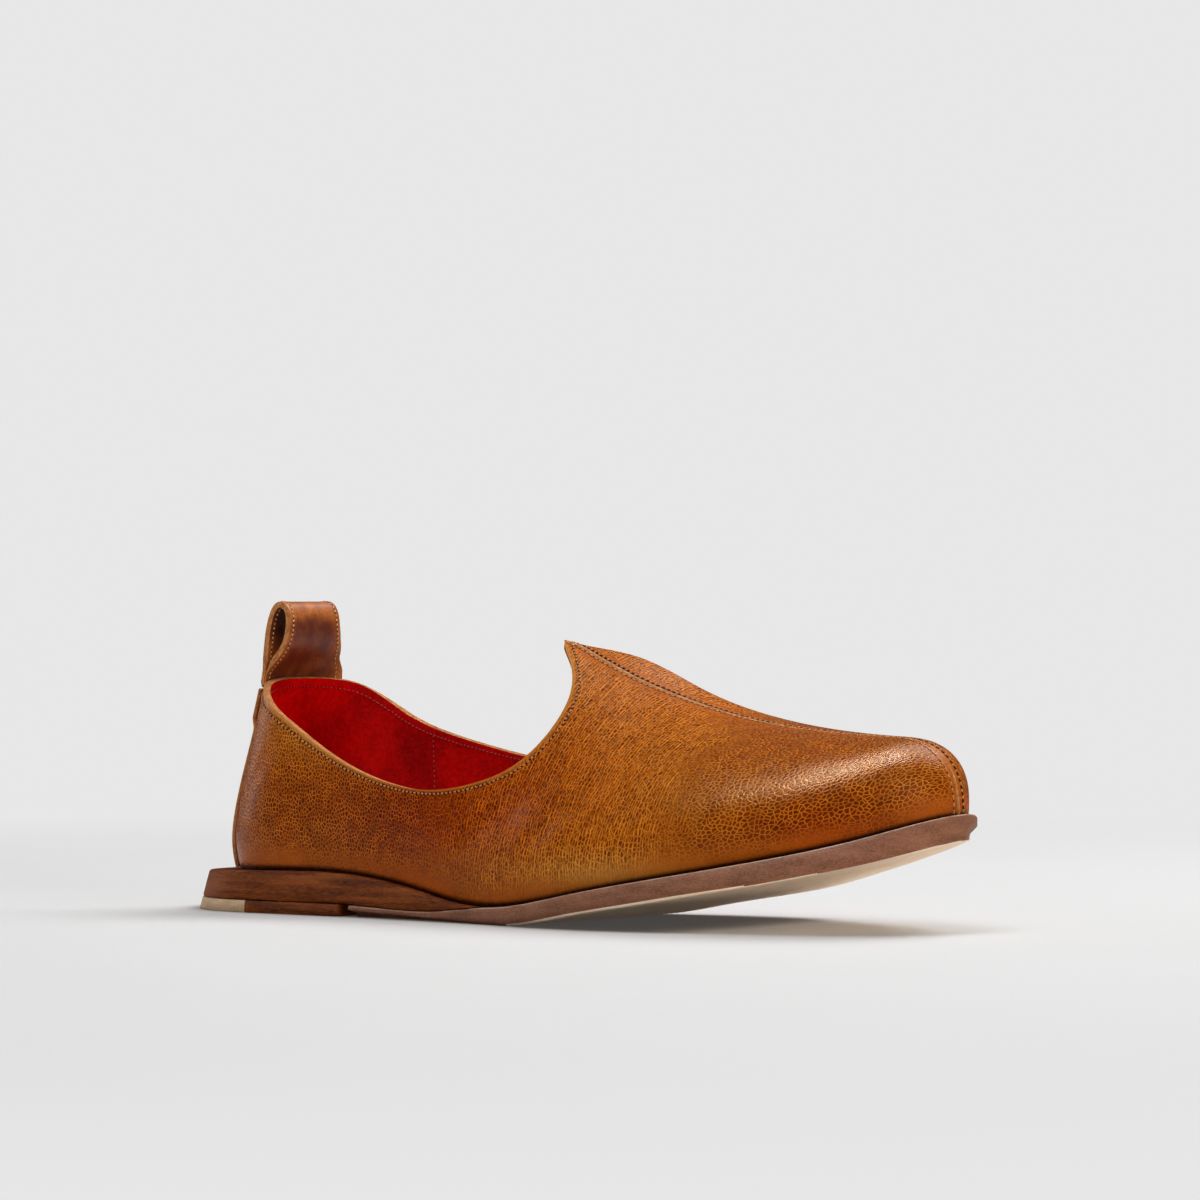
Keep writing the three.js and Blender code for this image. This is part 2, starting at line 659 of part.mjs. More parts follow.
const heel = heelLiftParts();
const shoe = new THREE.Group();
shoe.add(
  piece("upper", upperSolid(), TAN),
  piece("insole", insoleSolid(), RED),
  piece("outsole", outsoleSolid(), EDGE_BROWN),
  piece("heel_wedge", wedgeSolid(), STACKED),
  piece("heel_lift", heel.lift, STACKED),
  piece("heel_tip", heel.tip, PALE_TIP),
  piece("back_strip", backStripSolid(), TAN),
  piece("pull_loop", pullLoopSolid(), TAN),
);

// The part's origin is the middle of its footprint on the floor.
const size = new THREE.Box3().setFromObject(shoe);
const middle = size.getCenter(new THREE.Vector3());
shoe.position.set(-middle.x, -middle.y, -size.min.z);

const part = new THREE.Group();
part.add(shoe);
export default part;
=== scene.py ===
"""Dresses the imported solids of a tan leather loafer: grained upper, red lining, sewn seams, stacked heel."""
import logging
import math
from dataclasses import dataclass
from enum import Enum

import bmesh
import bpy
import numpy as np
from mathutils import Matrix, Quaternion, Vector
from mathutils.bvhtree import BVHTree


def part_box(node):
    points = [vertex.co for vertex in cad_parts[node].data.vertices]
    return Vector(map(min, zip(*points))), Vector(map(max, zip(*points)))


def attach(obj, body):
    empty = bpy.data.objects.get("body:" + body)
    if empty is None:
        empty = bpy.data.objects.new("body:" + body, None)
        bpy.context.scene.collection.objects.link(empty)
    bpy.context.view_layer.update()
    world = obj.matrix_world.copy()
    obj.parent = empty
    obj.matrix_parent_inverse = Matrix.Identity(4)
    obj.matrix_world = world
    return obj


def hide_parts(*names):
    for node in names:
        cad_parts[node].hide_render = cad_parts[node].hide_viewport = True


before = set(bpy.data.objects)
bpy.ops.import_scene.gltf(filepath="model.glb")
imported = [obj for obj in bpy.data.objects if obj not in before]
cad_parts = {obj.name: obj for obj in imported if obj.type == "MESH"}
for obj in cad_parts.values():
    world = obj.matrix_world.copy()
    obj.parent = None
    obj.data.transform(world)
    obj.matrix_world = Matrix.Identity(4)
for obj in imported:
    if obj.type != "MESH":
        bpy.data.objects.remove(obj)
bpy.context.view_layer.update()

LOG = logging.getLogger("loafer")
MM = 0.001
TINY = 1e-6
Array = np.ndarray
Rows = tuple[tuple[float, ...], ...]
Colour = tuple[float, float, float, float]
Tone = tuple[int, int, int]
Ramp = tuple[float, float, float, float]
Mesh = bmesh.types.BMesh
Node = bpy.types.Node
Tree = bpy.types.NodeTree
Socket = bpy.types.NodeSocket
Material = bpy.types.Material


class Side(Enum):
    """The two sides of the right shoe, by the sign of their sideways direction."""

    OUTER = -1
    INNER = 1


class Slot(Enum):
    """Material slots of the record."""

    TAN = "tan_leather"
    RED = "red_lining"
    SOLE = "sole_leather"
    STACK = "stacked_leather"
    TIP = "pale_tip"


def ease(share: Array) -> Array:
    """Smooth step from 0 to 1."""
    s = np.clip(share, 0.0, 1.0)
    return s * s * (3.0 - 2.0 * s)


def mix(start: Array, end: Array, share: Array) -> Array:
    """Straight blend of two values."""
    return start + (end - start) * share


def rounding(share: Array, power: float) -> Array:
    """Falls from 1 to 0 along a superellipse."""
    return (1.0 - np.clip(share, 0.0, 1.0) ** power) ** (1.0 / power)


def srgb(red: int, green: int, blue: int) -> Colour:
    """Scene-linear colour of a display colour given in 0 to 255."""
    parts = [(c / 255 / 12.92) if c <= 10 else ((c / 255 + 0.055) / 1.055) ** 2.4 for c in (red, green, blue)]
    return parts[0], parts[1], parts[2], 1.0


class Batten:
    """A smooth curve bent through the rows of a table: a natural cubic spline."""

    def __init__(self, at: Array, value: Array) -> None:
        """Finds the curve's bend at each row.

        Args:
            at: Places of the rows, rising.
            value: The curve's value at each row.
        """
        self.at, self.value = np.asarray(at, float), np.asarray(value, float)
        self.step = np.diff(self.at)
        count = len(self.at)
        weights, pull = np.eye(count), np.zeros(count)
        slope = np.diff(self.value) / self.step
        for i in range(1, count - 1):
            weights[i, i - 1:i + 2] = self.step[i - 1], 2 * (self.step[i - 1] + self.step[i]), self.step[i]
            pull[i] = 6 * (slope[i] - slope[i - 1])
        self.bend = np.linalg.solve(weights, pull)

    def __call__(self, where: Array | float) -> Array:
        """Value of the curve.

        Args:
            where: Places to read it at; the end stretches carry on past the table.

        Returns:
            The values there.
        """
        where = np.asarray(where, float)
        i = np.clip(np.searchsorted(self.at, where), 1, len(self.at) - 1)
        step = self.step[i - 1]
        left = (self.at[i] - where) / step
        right = 1.0 - left
        sag = (left ** 3 - left) * self.bend[i - 1] + (right ** 3 - right) * self.bend[i]
        return left * self.value[i - 1] + right * self.value[i] + sag * step * step / 6


class Path:
    """A line through points, walked by share of its length."""

    def __init__(self, points: Array) -> None:
        """Measures the line.

        Args:
            points: Points along the line, one a row.
        """
        self.points = np.asarray(points, float)
        steps = np.linalg.norm(np.diff(self.points, axis=0), axis=1)
        self.reach = np.concatenate([[0.0], np.cumsum(steps)])
        self.length = float(self.reach[-1])

    def __call__(self, share: Array) -> Array:
        """Points at shares of the line's length."""
        at = np.clip(share, 0.0, 1.0) * self.length
        return np.stack([np.interp(at, self.reach, column) for column in self.points.T], axis=-1)

    def paced(self, pitch: float, trim: float = 0.0) -> tuple[Array, Array]:
        """Evenly spaced points.

        Args:
            pitch: Wanted distance between points.
            trim: Length left free at each end.

        Returns:
            The points and the unit directions of the line there.
        """
        count = max(2, int(round((self.length - 2 * trim) / pitch)) + 1)
        share = np.linspace(trim / self.length, 1 - trim / self.length, count)
        ahead = self(share + 0.3 / self.length) - self(share - 0.3 / self.length)
        return self(share), ahead / np.linalg.norm(ahead, axis=-1, keepdims=True)


@dataclass
class Last:
    """The form of the shoe, in millimetres from the heel's back edge, with the outer side at -Y."""

    sole_length: float = 292.0
    gap: float = 0.3
    wall: float = 2.2
    lift: float = 3.9
    breast_x: float = 77.5
    outsole_start_x: float = 82.0
    outsole_end_x: float = 291.95
    outsole_middle_y: float = -0.27
    wedge_end_x: float = 136.0
    upper_tip_x: float = 289.0
    throat_x: float = 141.0
    toe_swing: float = 4.0
    swing_start_x: float = 150.0
    heel_turn: float = 0.08
    turn_end_x: float = 100.0
    heel_flare: float = 0.25
    flare_end_x: float = 115.0
    roll_x: float = 152.0
    waist_end_x: float = 142.0
    collar_back_z: float = 76.2
    row_lean: float = 1.35
    seam_lean: float = 2.2
    # start of the rounding and its power
    sole_heel: tuple[float, float] = (37.0, 2.0)
    upper_heel: tuple[float, float] = (50.0, 2.2)
    sole_toe: tuple[float, float] = (250.0, 2.1)
    upper_toe: tuple[float, float] = (248.0, 2.2)
    toe_cap: tuple[float, float] = (268.0, 2.7)
    # where the toe's lower edge begins to be pared away, and how far
    toe_pare: tuple[float, float] = (262.0, 3.4)
    # x, half-width of the sole on the outer and the inner side
    plan: Rows = (
        (0, 37, 36.5), (40, 38, 37), (75, 38, 34.5), (105, 39, 32.5), (130, 42, 33.5), (155, 46.5, 38.5),
        (180, 50, 44), (200, 50.5, 47), (222, 48.5, 47), (245, 43, 42.2), (268, 36, 34), (292, 30, 24),
    )
    # x, height of the upper's bottom edge, ledge of the sole, rise of the widest line, tuck below that
    flank: Rows = (
        (0, 12.6, 6.5, 17, 0.07), (40, 13.7, 6.3, 17, 0.06), (72, 13.9, 5, 18, 0.06),
        (92, 12.2, 3.4, 18, 0.06), (112, 8.9, 2.2, 18, 0.06), (128, 6.2, 1.6, 17, 0.06),
        (142, 5.6, 1.5, 16, 0.06), (158, 7.1, 1.7, 15, 0.06), (180, 11.2, 2, 13, 0.06),
        (210, 16.6, 2.3, 11.5, 0.06), (245, 23, 2.6, 10, 0.06), (270, 29, 2.8, 9, 0.05),
        (292, 37, 2.9, 8, 0.05),
    )
    # x, height of the sole's underside where it curls up, at its outer and its inner edge
    rocker: Rows = (
        (140, 0, 0), (152, 0.1, 0.1), (162, 1.2, 1.3), (175, 3.6, 3.8), (200, 7.8, 8.1), (215, 10.4, 11.2),
        (230, 12.9, 15.2), (245, 15.5, 19.2), (260, 18.6, 23.2), (275, 22.5, 26.4), (292, 29, 29.2),
    )
    # x, top of the outsole, how far in and up its lower edge is pared
    waist: Rows = (
        (78, 3.9, 5, 2.6), (100, 3.1, 5, 1.6), (118, 3.1, 4, 1.1), (130, 4.2, 2.4, 0.9), (142, 5.3, 1.2, 0.9),
    )
    # x, height of the vamp's ridge, powers of the section above its widest line, lean of the ridge
    instep: Rows = (
        (0, 130, 2.4, 2, 0), (60, 119, 2.4, 2, 0), (110, 102, 1.8, 1.7, 0), (141, 88.6, 1.35, 1.5, 0),
        (163, 83.8, 1.5, 1.42, 7.5), (187, 73.9, 1.65, 1.5, 8.5), (216, 65.2, 1.9, 1.8, 5.5),
        (250, 60.7, 2.2, 2.1, 1.5), (275, 59.4, 2.3, 2.2, 0), (292, 58.5, 2.3, 2.2, 0),
    )
    # height, x of the back seam
    heel_curve: Rows = ((10, 15.4), (20, 13.2), (30, 14.2), (42, 17.6), (56, 22.4), (68, 26.2), (80, 29.4))
    # x, height of the collar's edge on the outer and the inner side
    collar: Rows = (
        (28.5, 76.2, 76.2), (32.6, 74.4, 75), (40, 69.7, 70.7), (52, 62.3, 63.9), (69, 52.5, 58),
        (85, 46, 54.3), (100, 42.5, 51.4), (116, 41.4, 49.2), (132, 43.9, 48.8), (147, 50.3, 53),
        (154.5, 59.3, 60.8), (155.8, 70, 70.4), (151.5, 78.5, 78.5), (141, 88.6, 88.6),
    )
    # x, drop of the sewn seam below the ridge, on the outer side
    seam_drop: Rows = (
        (141, 0), (146, 0.3), (155, 2.2), (163, 3.6), (170, 4), (178, 3.5), (190, 2.2), (203, 1.3),
        (220, 0.7), (240, 0.3), (289, 0),
    )

    def __post_init__(self) -> None:
        """Bends a batten through each column of the tables and finds the upper's four edges in side view."""
        def battens(rows: Rows) -> list[Batten]:
            """One batten for each column after the first."""
            columns = np.array(rows, float).T
            return [Batten(columns[0], column) for column in columns[1:]]

        self.outer_half, self.inner_half = battens(self.plan)
        self.feather, self.ledge, self.bulge, self.tuck = battens(self.flank)
        self.under_curve = dict(zip((Side.OUTER, Side.INNER), battens(self.rocker)))
        self.waist_top, self.waist_in, self.waist_up = battens(self.waist)
        self.ridge_curve, self.fall, self.spread, self.crest = battens(self.instep)
        (self.heel_x,) = battens(self.heel_curve)
        (self.drop,) = battens(self.seam_drop)
        foot = self.heel_curve[0][1]
        for _ in range(6):
            foot = float(self.heel_x(self.feather(foot)))
        self.heel_foot = (foot, float(self.feather(foot)))
        share = np.linspace(0.0, 1.0, 400)
        x = mix(foot, self.upper_tip_x, share)
        self.feather_edge = Path(np.stack([x, self.feather(x)], -1))
        z = mix(self.heel_foot[1], self.collar_back_z, share)
        self.heel_edge = Path(np.stack([self.heel_x(z), z], -1))
        x = mix(self.upper_tip_x, self.throat_x, share ** self.seam_lean)
        self.seam_edge = Path(np.stack([x, self.ridge(x)], -1))
        rows = np.array(self.collar, float)
        rows[0, 0] = self.heel_x(self.collar_back_z)
        along = np.concatenate([[0.0], np.cumsum(np.hypot(*np.diff(rows[:, :2], axis=0).T))])
        at = share * along[-1]
        edge_x = Batten(along, rows[:, 0])(at)
        self.collar_edge = {
            side: Path(np.stack([edge_x, Batten(along, rows[:, column])(at)], -1))
            for side, column in ((Side.OUTER, 1), (Side.INNER, 2))
        }
        low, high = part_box("outsole")
        self.shift = Vector((
            high.x - self.outsole_end_x * MM,
            (low.y + high.y) / 2 - self.outsole_middle_y * MM,
            0.0,
        ))

    def centre_y(self, x: Array) -> Array:
        """Sideways place of the sole's middle line, which swings inwards at the toe."""
        return self.toe_swing * ease((x - self.swing_start_x) / (self.sole_length - self.swing_start_x))

    def flare(self, x: Array) -> Array:
        """Slope of the heel's sides."""
        return self.heel_flare * (1 - ease((x - self.breast_x) / (self.flare_end_x - self.breast_x)))

    def under(self, side: Side, x: Array) -> Array:
        """Height of the sole's underside along one edge."""
        return np.where(x <= self.roll_x, 0.0, np.maximum(0.0, self.under_curve[side](x)))

    def pared(self, x: Array) -> tuple[Array, Array]:
        """How far in and up the sole's lower edge is pared."""
        start, depth = self.toe_pare
        at, toe = np.minimum(x, self.waist_end_x), depth * ease((x - start) / (self.sole_length - start))
        return self.waist_in(at) + toe, self.waist_up(at) + toe

    def outsole_top(self, x: Array) -> Array:
        """Height of the outsole's upper face."""
        return np.where(x < self.waist_end_x, self.waist_top(x), self.feather(x) - self.gap)

    def plan_half(self, side: Side, x: Array) -> Array:
        """Half-width of the sole before its ends are rounded."""
        return self.outer_half(x) if side is Side.OUTER else self.inner_half(x)

    def sole_half(self, side: Side, x: Array, z: Array) -> Array:
        """Half-width of the sole.

        Args:
            side: Side of the shoe.
            x: Places along it.
            z: Heights there.

        Returns:
            Distances from the middle line.
        """
        inset = self.flare(x) * z
        heel = rounding((self.sole_heel[0] - x) / (self.sole_heel[0] - inset), self.sole_heel[1])
        toe = rounding((x - self.sole_toe[0]) / (self.sole_length - self.sole_toe[0]), self.sole_toe[1])
        return (self.plan_half(side, x) - inset) * heel * toe

    def cap(self, x: Array) -> Array:
        """Share of its height that the vamp keeps as the toe turns down."""
        return rounding((x - self.toe_cap[0]) / (self.upper_tip_x - self.toe_cap[0]), self.toe_cap[1])

    def ridge(self, x: Array) -> Array:
        """Height of the vamp's ridge."""
        return mix(self.feather(x), self.ridge_curve(x), self.cap(x))

    def section_share(self, x: Array, z: Array) -> Array:
        """Share of the upper's half-width that is left at height z of the cross-section at x."""
        low = self.feather(x)
        wide = low + self.bulge(x) * self.cap(x)
        below = 1 - self.tuck(x) * (np.maximum(wide - z, 0) / np.maximum(wide - low, TINY)) ** 2
        rise = np.clip((z - wide) / np.maximum(self.ridge(x) - wide, TINY), 0.0, 1.0)
        above = (1 - rise ** self.fall(x)) ** (1 / self.spread(x))
        return np.where(z < wide, below, above)

    def upper_half(self, side: Side, x: Array, z: Array) -> Array:
        """Half-width of the upper's outer face at a side-view point."""
        toe = rounding((x - self.upper_toe[0]) / (self.upper_tip_x - self.upper_toe[0]), self.upper_toe[1])
        heel = rounding((self.upper_heel[0] - x) / (self.upper_heel[0] - self.heel_x(z)), self.upper_heel[1])
        return (self.plan_half(side, x) - self.ledge(x)) * toe * heel * self.section_share(x, z)

    def upper_y(self, side: Side, x: Array, z: Array) -> Array:
        """Sideways place of the upper's outer face, which leans to the ridge as it rises."""
        lean = self.crest(x) * (1 - np.minimum(1.0, self.section_share(x, z)))
        return self.centre_y(x) + side.value * self.upper_half(side, x, z) + lean

    def upper_point(self, side: Side, along: Array, up: Array) -> Array:
        """Points of the upper's outer face, blended between its four edges in side view.

        Args:
            side: Side of the shoe.
            along: 0 at the back seam to 1 at the ridge.
            up: 0 at the bottom edge to 1 at the collar.

        Returns:
            The points.
        """
        s, t = ease(along)[..., None], up[..., None]
        low, high = self.feather_edge, self.collar_edge[side]
        ruled = mix(low(s[..., 0]), high(s[..., 0]), t) + mix(self.heel_edge(up), self.seam_edge(up), s)
        corners = mix(mix(low(0.0), low(1.0), s), mix(high(0.0), high(1.0), s), t)
        x, z = np.moveaxis(ruled - corners, -1, 0)
        return np.stack([x, self.upper_y(side, x, z), z], -1)

    def skin_places(self, side: Side, x: Array, z: Array) -> tuple[Array, Array]:
        """Places on the upper's skin, as lengths along it.

        Args:
            side: Side of the shoe.
            x: Places along the shoe.
            z: Heights there.

        Returns:
            Lengths from the back seam, and lengths up from the bottom edge.
        """
        start, foot = self.upper_heel[0], self.heel_foot[0]
        at = np.linspace(foot, self.upper_tip_x, 600)
        half = self.upper_half(Side.OUTER, at, self.feather(at))
        run = np.concatenate([[0.0], np.cumsum(np.hypot(np.diff(at), np.diff(half)))])
        back = start - (start - x) * (start - foot) / (start - self.heel_x(z))
        low = self.feather(x)[..., None]
        height = low + (z[..., None] - low) * (1 - (1 - np.linspace(0, 1, 21)) ** 2)
        y = self.upper_y(side, x[..., None] + np.zeros_like(height), height)
        girth = np.hypot(np.diff(y, axis=-1), np.diff(height, axis=-1)).sum(-1)
        return np.interp(np.where(x < start, back, x), at, run), girth

    def wall_points(self, half_columns: int, rows: int) -> Array:
        """Outer face of the upper, once round from the back seam by the outer side.

        Args:
            half_columns: Columns on each side.
            rows: Rows from the bottom edge to the collar.

        Returns:
            Points by column and row; the first and last column lie together.
        """
        along, up = np.meshgrid(
            np.linspace(0, 1, half_columns + 1), np.linspace(0, 1, rows + 1) ** self.row_lean, indexing="ij",
        )
        outer = self.upper_point(Side.OUTER, along, up)
        inner = self.upper_point(Side.INNER, along, up)
        return np.concatenate([outer, inner[-2::-1]])

    def seam_points(self, count: int) -> Array:
        """The sewn seam of the vamp, from the throat to the toe's foot."""
        x = mix(self.throat_x, self.upper_tip_x, 1 - (1 - np.linspace(0, 1, count)) ** self.seam_lean)
        z = self.ridge(x) - self.drop(x)
        return np.stack([x, self.upper_y(Side.OUTER, x, z), z], -1)

    def heel_back(self, y: Array, z: Array, stand_off: Array) -> Array:
        """Back of the heel.

        Args:
            y: Distance to the side of the back seam.
            z: Heights.
            stand_off: How far off the upper.

        Returns:
            Points on that skin.
        """
        start, power = self.upper_heel
        span = start - self.heel_x(z)
        wide = np.where(y < 0, *(self.upper_half(side, start, z) for side in Side))

        def depth(at: Array) -> Array:
            """Distance from the heel's back edge."""
            return start - span * rounding(np.abs(at) / wide, power)

        out = np.stack([-np.ones_like(y), depth(y + 0.5) - depth(y - 0.5), np.zeros_like(y)], -1)
        out /= np.linalg.norm(out, axis=-1, keepdims=True)
        return np.stack([depth(y), y, z], -1) + out * np.asarray(stand_off)[..., None]

    def sole_ring(self, x: Array, z: Array, inset: Array, inner_z: Array | None = None) -> Array:
        """One ring of the sole, along the outer side and back along the inner side.

        Args:
            x: Stations from the heel to the toe.
            z: Height at each station.
            inset: How far in from the edge at each station.
            inner_z: Height along the inner side, where it differs.

        Returns:
            Points round the ring.
        """
        def edge(side: Side, height: Array) -> Array:
            """Edge of one side."""
            half = self.sole_half(side, x, height)
            y = self.centre_y(x) + side.value * np.maximum(half - inset, half * 0.2)
            return np.stack([x, y, height], -1)

        inner = edge(Side.INNER, z if inner_z is None else inner_z)
        return np.concatenate([edge(Side.OUTER, z), inner[::-1]])

    def settle(self, bm: Mesh) -> None:
        """Turns the heel's axis and moves a mesh from the last's millimetres into the frame's metres."""
        places = np.array([vert.co for vert in bm.verts])
        places[:, 0] += self.heel_turn * (1 - ease(places[:, 0] / self.turn_end_x)) * places[:, 1]
        for vert, place in zip(bm.verts, places * MM + np.array(self.shift)):
            vert.co = place


def outward(points: Array) -> Array:
    """Outward directions of a ring of columns whose first and last column lie together."""
    ahead = np.roll(points[:-1], -1, axis=0) - np.roll(points[:-1], 1, axis=0)
    ahead = np.concatenate([ahead, ahead[:1]])
    normal = np.cross(ahead, np.gradient(points, axis=1))
    return normal / np.maximum(np.linalg.norm(normal, axis=-1, keepdims=True), TINY)


def shaped_grid(points: Array, layers: dict[str, Array] | None = None) -> Mesh:
    """Bends a flat grid on to points and closes it where they meet.

    Args:
        points: Points by column and row.
        layers: Values by column and row, kept as point attributes.

    Returns:
        The mesh, in the units of the points.
    """
    columns, rows = points.shape[:2]
    bm = bmesh.new()
    bmesh.ops.create_grid(bm, x_segments=columns - 1, y_segments=rows - 1, size=0.5)
    keys = {name: bm.verts.layers.float.new(name) for name in layers or {}}
    for vert in bm.verts:
        i, j = round((vert.co.x + 0.5) * (columns - 1)), round((vert.co.y + 0.5) * (rows - 1))
        vert.co = points[i, j]
        for name, key in keys.items():
            vert[key] = layers[name][i, j]
    bmesh.ops.remove_doubles(bm, verts=bm.verts, dist=1e-3)
    bmesh.ops.dissolve_degenerate(bm, edges=bm.edges, dist=1e-4)
    return bm


def close_ends(bm: Mesh) -> None:
    """Fills a mesh's open ends and turns its faces outwards."""
    bmesh.ops.holes_fill(bm, edges=bm.edges, sides=0)
    bmesh.ops.recalc_face_normals(bm, faces=bm.faces)


def slab(rings: list[Array], cap_shares: tuple[float, ...] = (0.0, 0.4, 0.8)) -> Mesh:
    """A closed slab from rings stacked from the bottom up.

    Args:
        rings: Rings that run out along one side and back along the other.
        cap_shares: Rows of each flat face, as shares from its middle line to its edge.

    Returns:
        The closed mesh; its point attribute row counts the rows from the bottom up.
    """
    def cap(ring: Array, share: float) -> Array:
        """A row of the flat face inside a ring."""
        middle = (ring + ring[::-1]) / 2
        return mix(middle, ring, share)

    rows = [cap(rings[0], s) for s in cap_shares] + rings + [cap(rings[-1], s) for s in reversed(cap_shares)]
    points = np.stack(rows, axis=1)
    points = np.concatenate([points, points[:1]])
    bm = shaped_grid(points, {"row": np.broadcast_to(np.arange(len(rows)), points.shape[:2])})
    bmesh.ops.recalc_face_normals(bm, faces=bm.faces)
    return bm


def stations(start: float, end: float, count: int, round_back: bool) -> Array:
    """Places along the sole, closer together towards its rounded end."""
    share = np.linspace(0, 1, count + 1) * math.pi / 2
    return mix(start, end, 1 - np.cos(share) if round_back else np.sin(share))


class NodeSheet:
    """A node tree being laid out."""

    def __init__(self, tree: Tree) -> None:
        """Starts on a tree."""
        self.tree = tree

    def put(
        self, kind: str, sockets: dict[str | int, object] | None = None, **settings: object,
    ) -> Node:
        """Adds a node.

        Args:
            kind: Blender's name of the node type.
            sockets: Values for its inputs, or other nodes' outputs to link to them.
            **settings: Properties of the node.

        Returns:
            The node.
        """
        node = self.tree.nodes.new(kind)
        for name, value in settings.items():
            setattr(node, name, value)
        for key, value in (sockets or {}).items():
            if isinstance(value, Socket):
                self.tree.links.new(value, node.inputs[key])
            else:
                node.inputs[key].default_value = value
        return node

    def sum(
        self, operation: str, first: object, second: object = 0.0, clamp: bool = False,
    ) -> Socket:
        """Arithmetic on two values."""
        node = self.put("ShaderNodeMath", {0: first, 1: second}, operation=operation, use_clamp=clamp)
        return node.outputs[0]

    def ramp(
        self, value: object, low: float, high: float, start: float = 0.0, end: float = 1.0,
    ) -> Socket:
        """Smooth step of a value between two limits, from start to end."""
        node = self.put(
            "ShaderNodeMapRange",
            {"Value": value, "From Min": low, "From Max": high, "To Min": start, "To Max": end},
            interpolation_type="SMOOTHSTEP",
        )
        return node.outputs[0]

    def tint(self, share: object, first: object, second: object) -> Socket:
        """Blend of two colours."""
        node = self.put("ShaderNodeMix", {0: share, 6: first, 7: second}, data_type="RGBA")
        return node.outputs[2]

    def blend(self, share: object, first: object, second: object) -> Socket:
        """Blend of two values."""
        return self.put("ShaderNodeMix", {0: share, 2: first, 3: second}, data_type="FLOAT").outputs[0]

    def measure(self, name: str) -> Socket:
        """A point attribute of the piece."""
        return self.put("ShaderNodeAttribute", attribute_name=name).outputs["Fac"]

    def millimetres(self, stretch: tuple[float, float, float] = (1, 1, 1)) -> Socket:
        """Object coordinates in millimetres, stretched."""
        place = self.put("ShaderNodeTexCoord").outputs["Object"]
        laid = {"Vector": place, "Scale": [s * MM for s in stretch]}
        return self.put("ShaderNodeMapping", laid, vector_type="TEXTURE").outputs[0]

    def cells(self, across: float, along: float, lean: float) -> Socket:
        """Place on the upper's skin counted in grain cells, which lean forwards as they rise."""
        place = self.put("ShaderNodeCombineXYZ", {0: self.measure("run"), 1: self.measure("girth")})
        laid = {
            "Vector": place.outputs[0], "Scale": (across, along, 1), "Rotation": (0, 0, -math.radians(lean)),
        }
        return self.put("ShaderNodeMapping", laid, vector_type="TEXTURE").outputs[0]

    def group(self, tree: Tree, **sockets: object) -> Node:
        """Places a shared effect with its own values."""
        return self.put("ShaderNodeGroup", sockets, node_tree=tree)

    def noise(self, place: Socket, scale: object, detail: float, **settings: object) -> Node:
        """Noise at a place."""
        sockets = {"Vector": place, "Scale": scale, "Detail": detail}
        return self.put("ShaderNodeTexNoise", sockets, **settings)

    def vector(self, operation: str, sockets: dict[str | int, object]) -> Socket:
        """Arithmetic on vectors."""
        return self.put("ShaderNodeVectorMath", sockets, operation=operation).outputs[0]

    def bump(self, height: Socket, relief: float, strength: float) -> Socket:
        """Normal of a surface that is raised by a height, with its relief in millimetres."""
        sockets = {"Height": height, "Distance": relief * MM, "Strength": strength}
        return self.put("ShaderNodeBump", sockets).outputs[0]

    def feed(self, shader: Node, **sockets: Socket) -> None:
        """Links outputs to a shader's inputs, which are named with _ for spaces."""
        for name, socket in sockets.items():
            self.tree.links.new(socket, shader.inputs[name.replace("_", " ")])


def effect(name: str, inputs: dict[str, str], outputs: list[str]) -> tuple[Tree, NodeSheet, Node]:
    """Starts a shader node group.

    Args:
        name: Name of the effect.
        inputs: Its inputs with their kind, Vector or Float.
        outputs: Its outputs, all values.

    Returns:
        The group, a sheet to lay it out on, and its input node.
    """
    tree = bpy.data.node_groups.new(name, "ShaderNodeTree")
    for label, kind in inputs.items():
        tree.interface.new_socket(label, in_out="INPUT", socket_type=f"NodeSocket{kind}")
    for label in outputs:
        tree.interface.new_socket(label, in_out="OUTPUT", socket_type="NodeSocketFloat")
    sheet = NodeSheet(tree)
    return tree, sheet, sheet.put("NodeGroupInput")


def grain_effect() -> Tree:
    """Creased leather grain: cells of uneven tone with lighter veins between them."""
    tree, sheet, given = effect("creased_grain", {"Place": "Vector"}, ["Vein", "Dome", "Tone"])
    place = given.outputs["Place"]
    stir = sheet.noise(place, 0.25, 0.0, noise_dimensions="2D")
    pulled = sheet.vector("SUBTRACT", {0: stir.outputs["Color"], 1: (0.5, 0.5, 0.5)})
    moved = sheet.vector("ADD", {0: place, 1: sheet.vector("SCALE", {0: pulled, "Scale": 0.6})})

    def cells(scale: float, feature: str) -> Node:
        """Cells round scattered points."""
        sockets = {"Vector": moved, "Scale": scale}
        return sheet.put("ShaderNodeTexVoronoi", sockets, feature=feature, voronoi_dimensions="2D")

    coarse, fine = (cells(scale, "DISTANCE_TO_EDGE").outputs["Distance"] for scale in (1.0, 2.1))
    wide = sheet.ramp(coarse, 0.0, 0.2, 1.0, 0.0)
    wide = sheet.sum("MULTIPLY", wide, sheet.ramp(stir.outputs["Fac"], 0.35, 0.62, 0.7, 1.0))
    thin = sheet.ramp(fine, 0.0, 0.12, 0.2, 0.0)
    tone = sheet.put("ShaderNodeSeparateColor", {0: cells(1.0, "F1").outputs["Color"]})
    sheet.put("NodeGroupOutput", {
        "Vein": sheet.sum("MAXIMUM", wide, thin),
        "Dome": sheet.ramp(coarse, 0.0, 0.34),
        "Tone": tone.outputs[0],
    })
    return tree


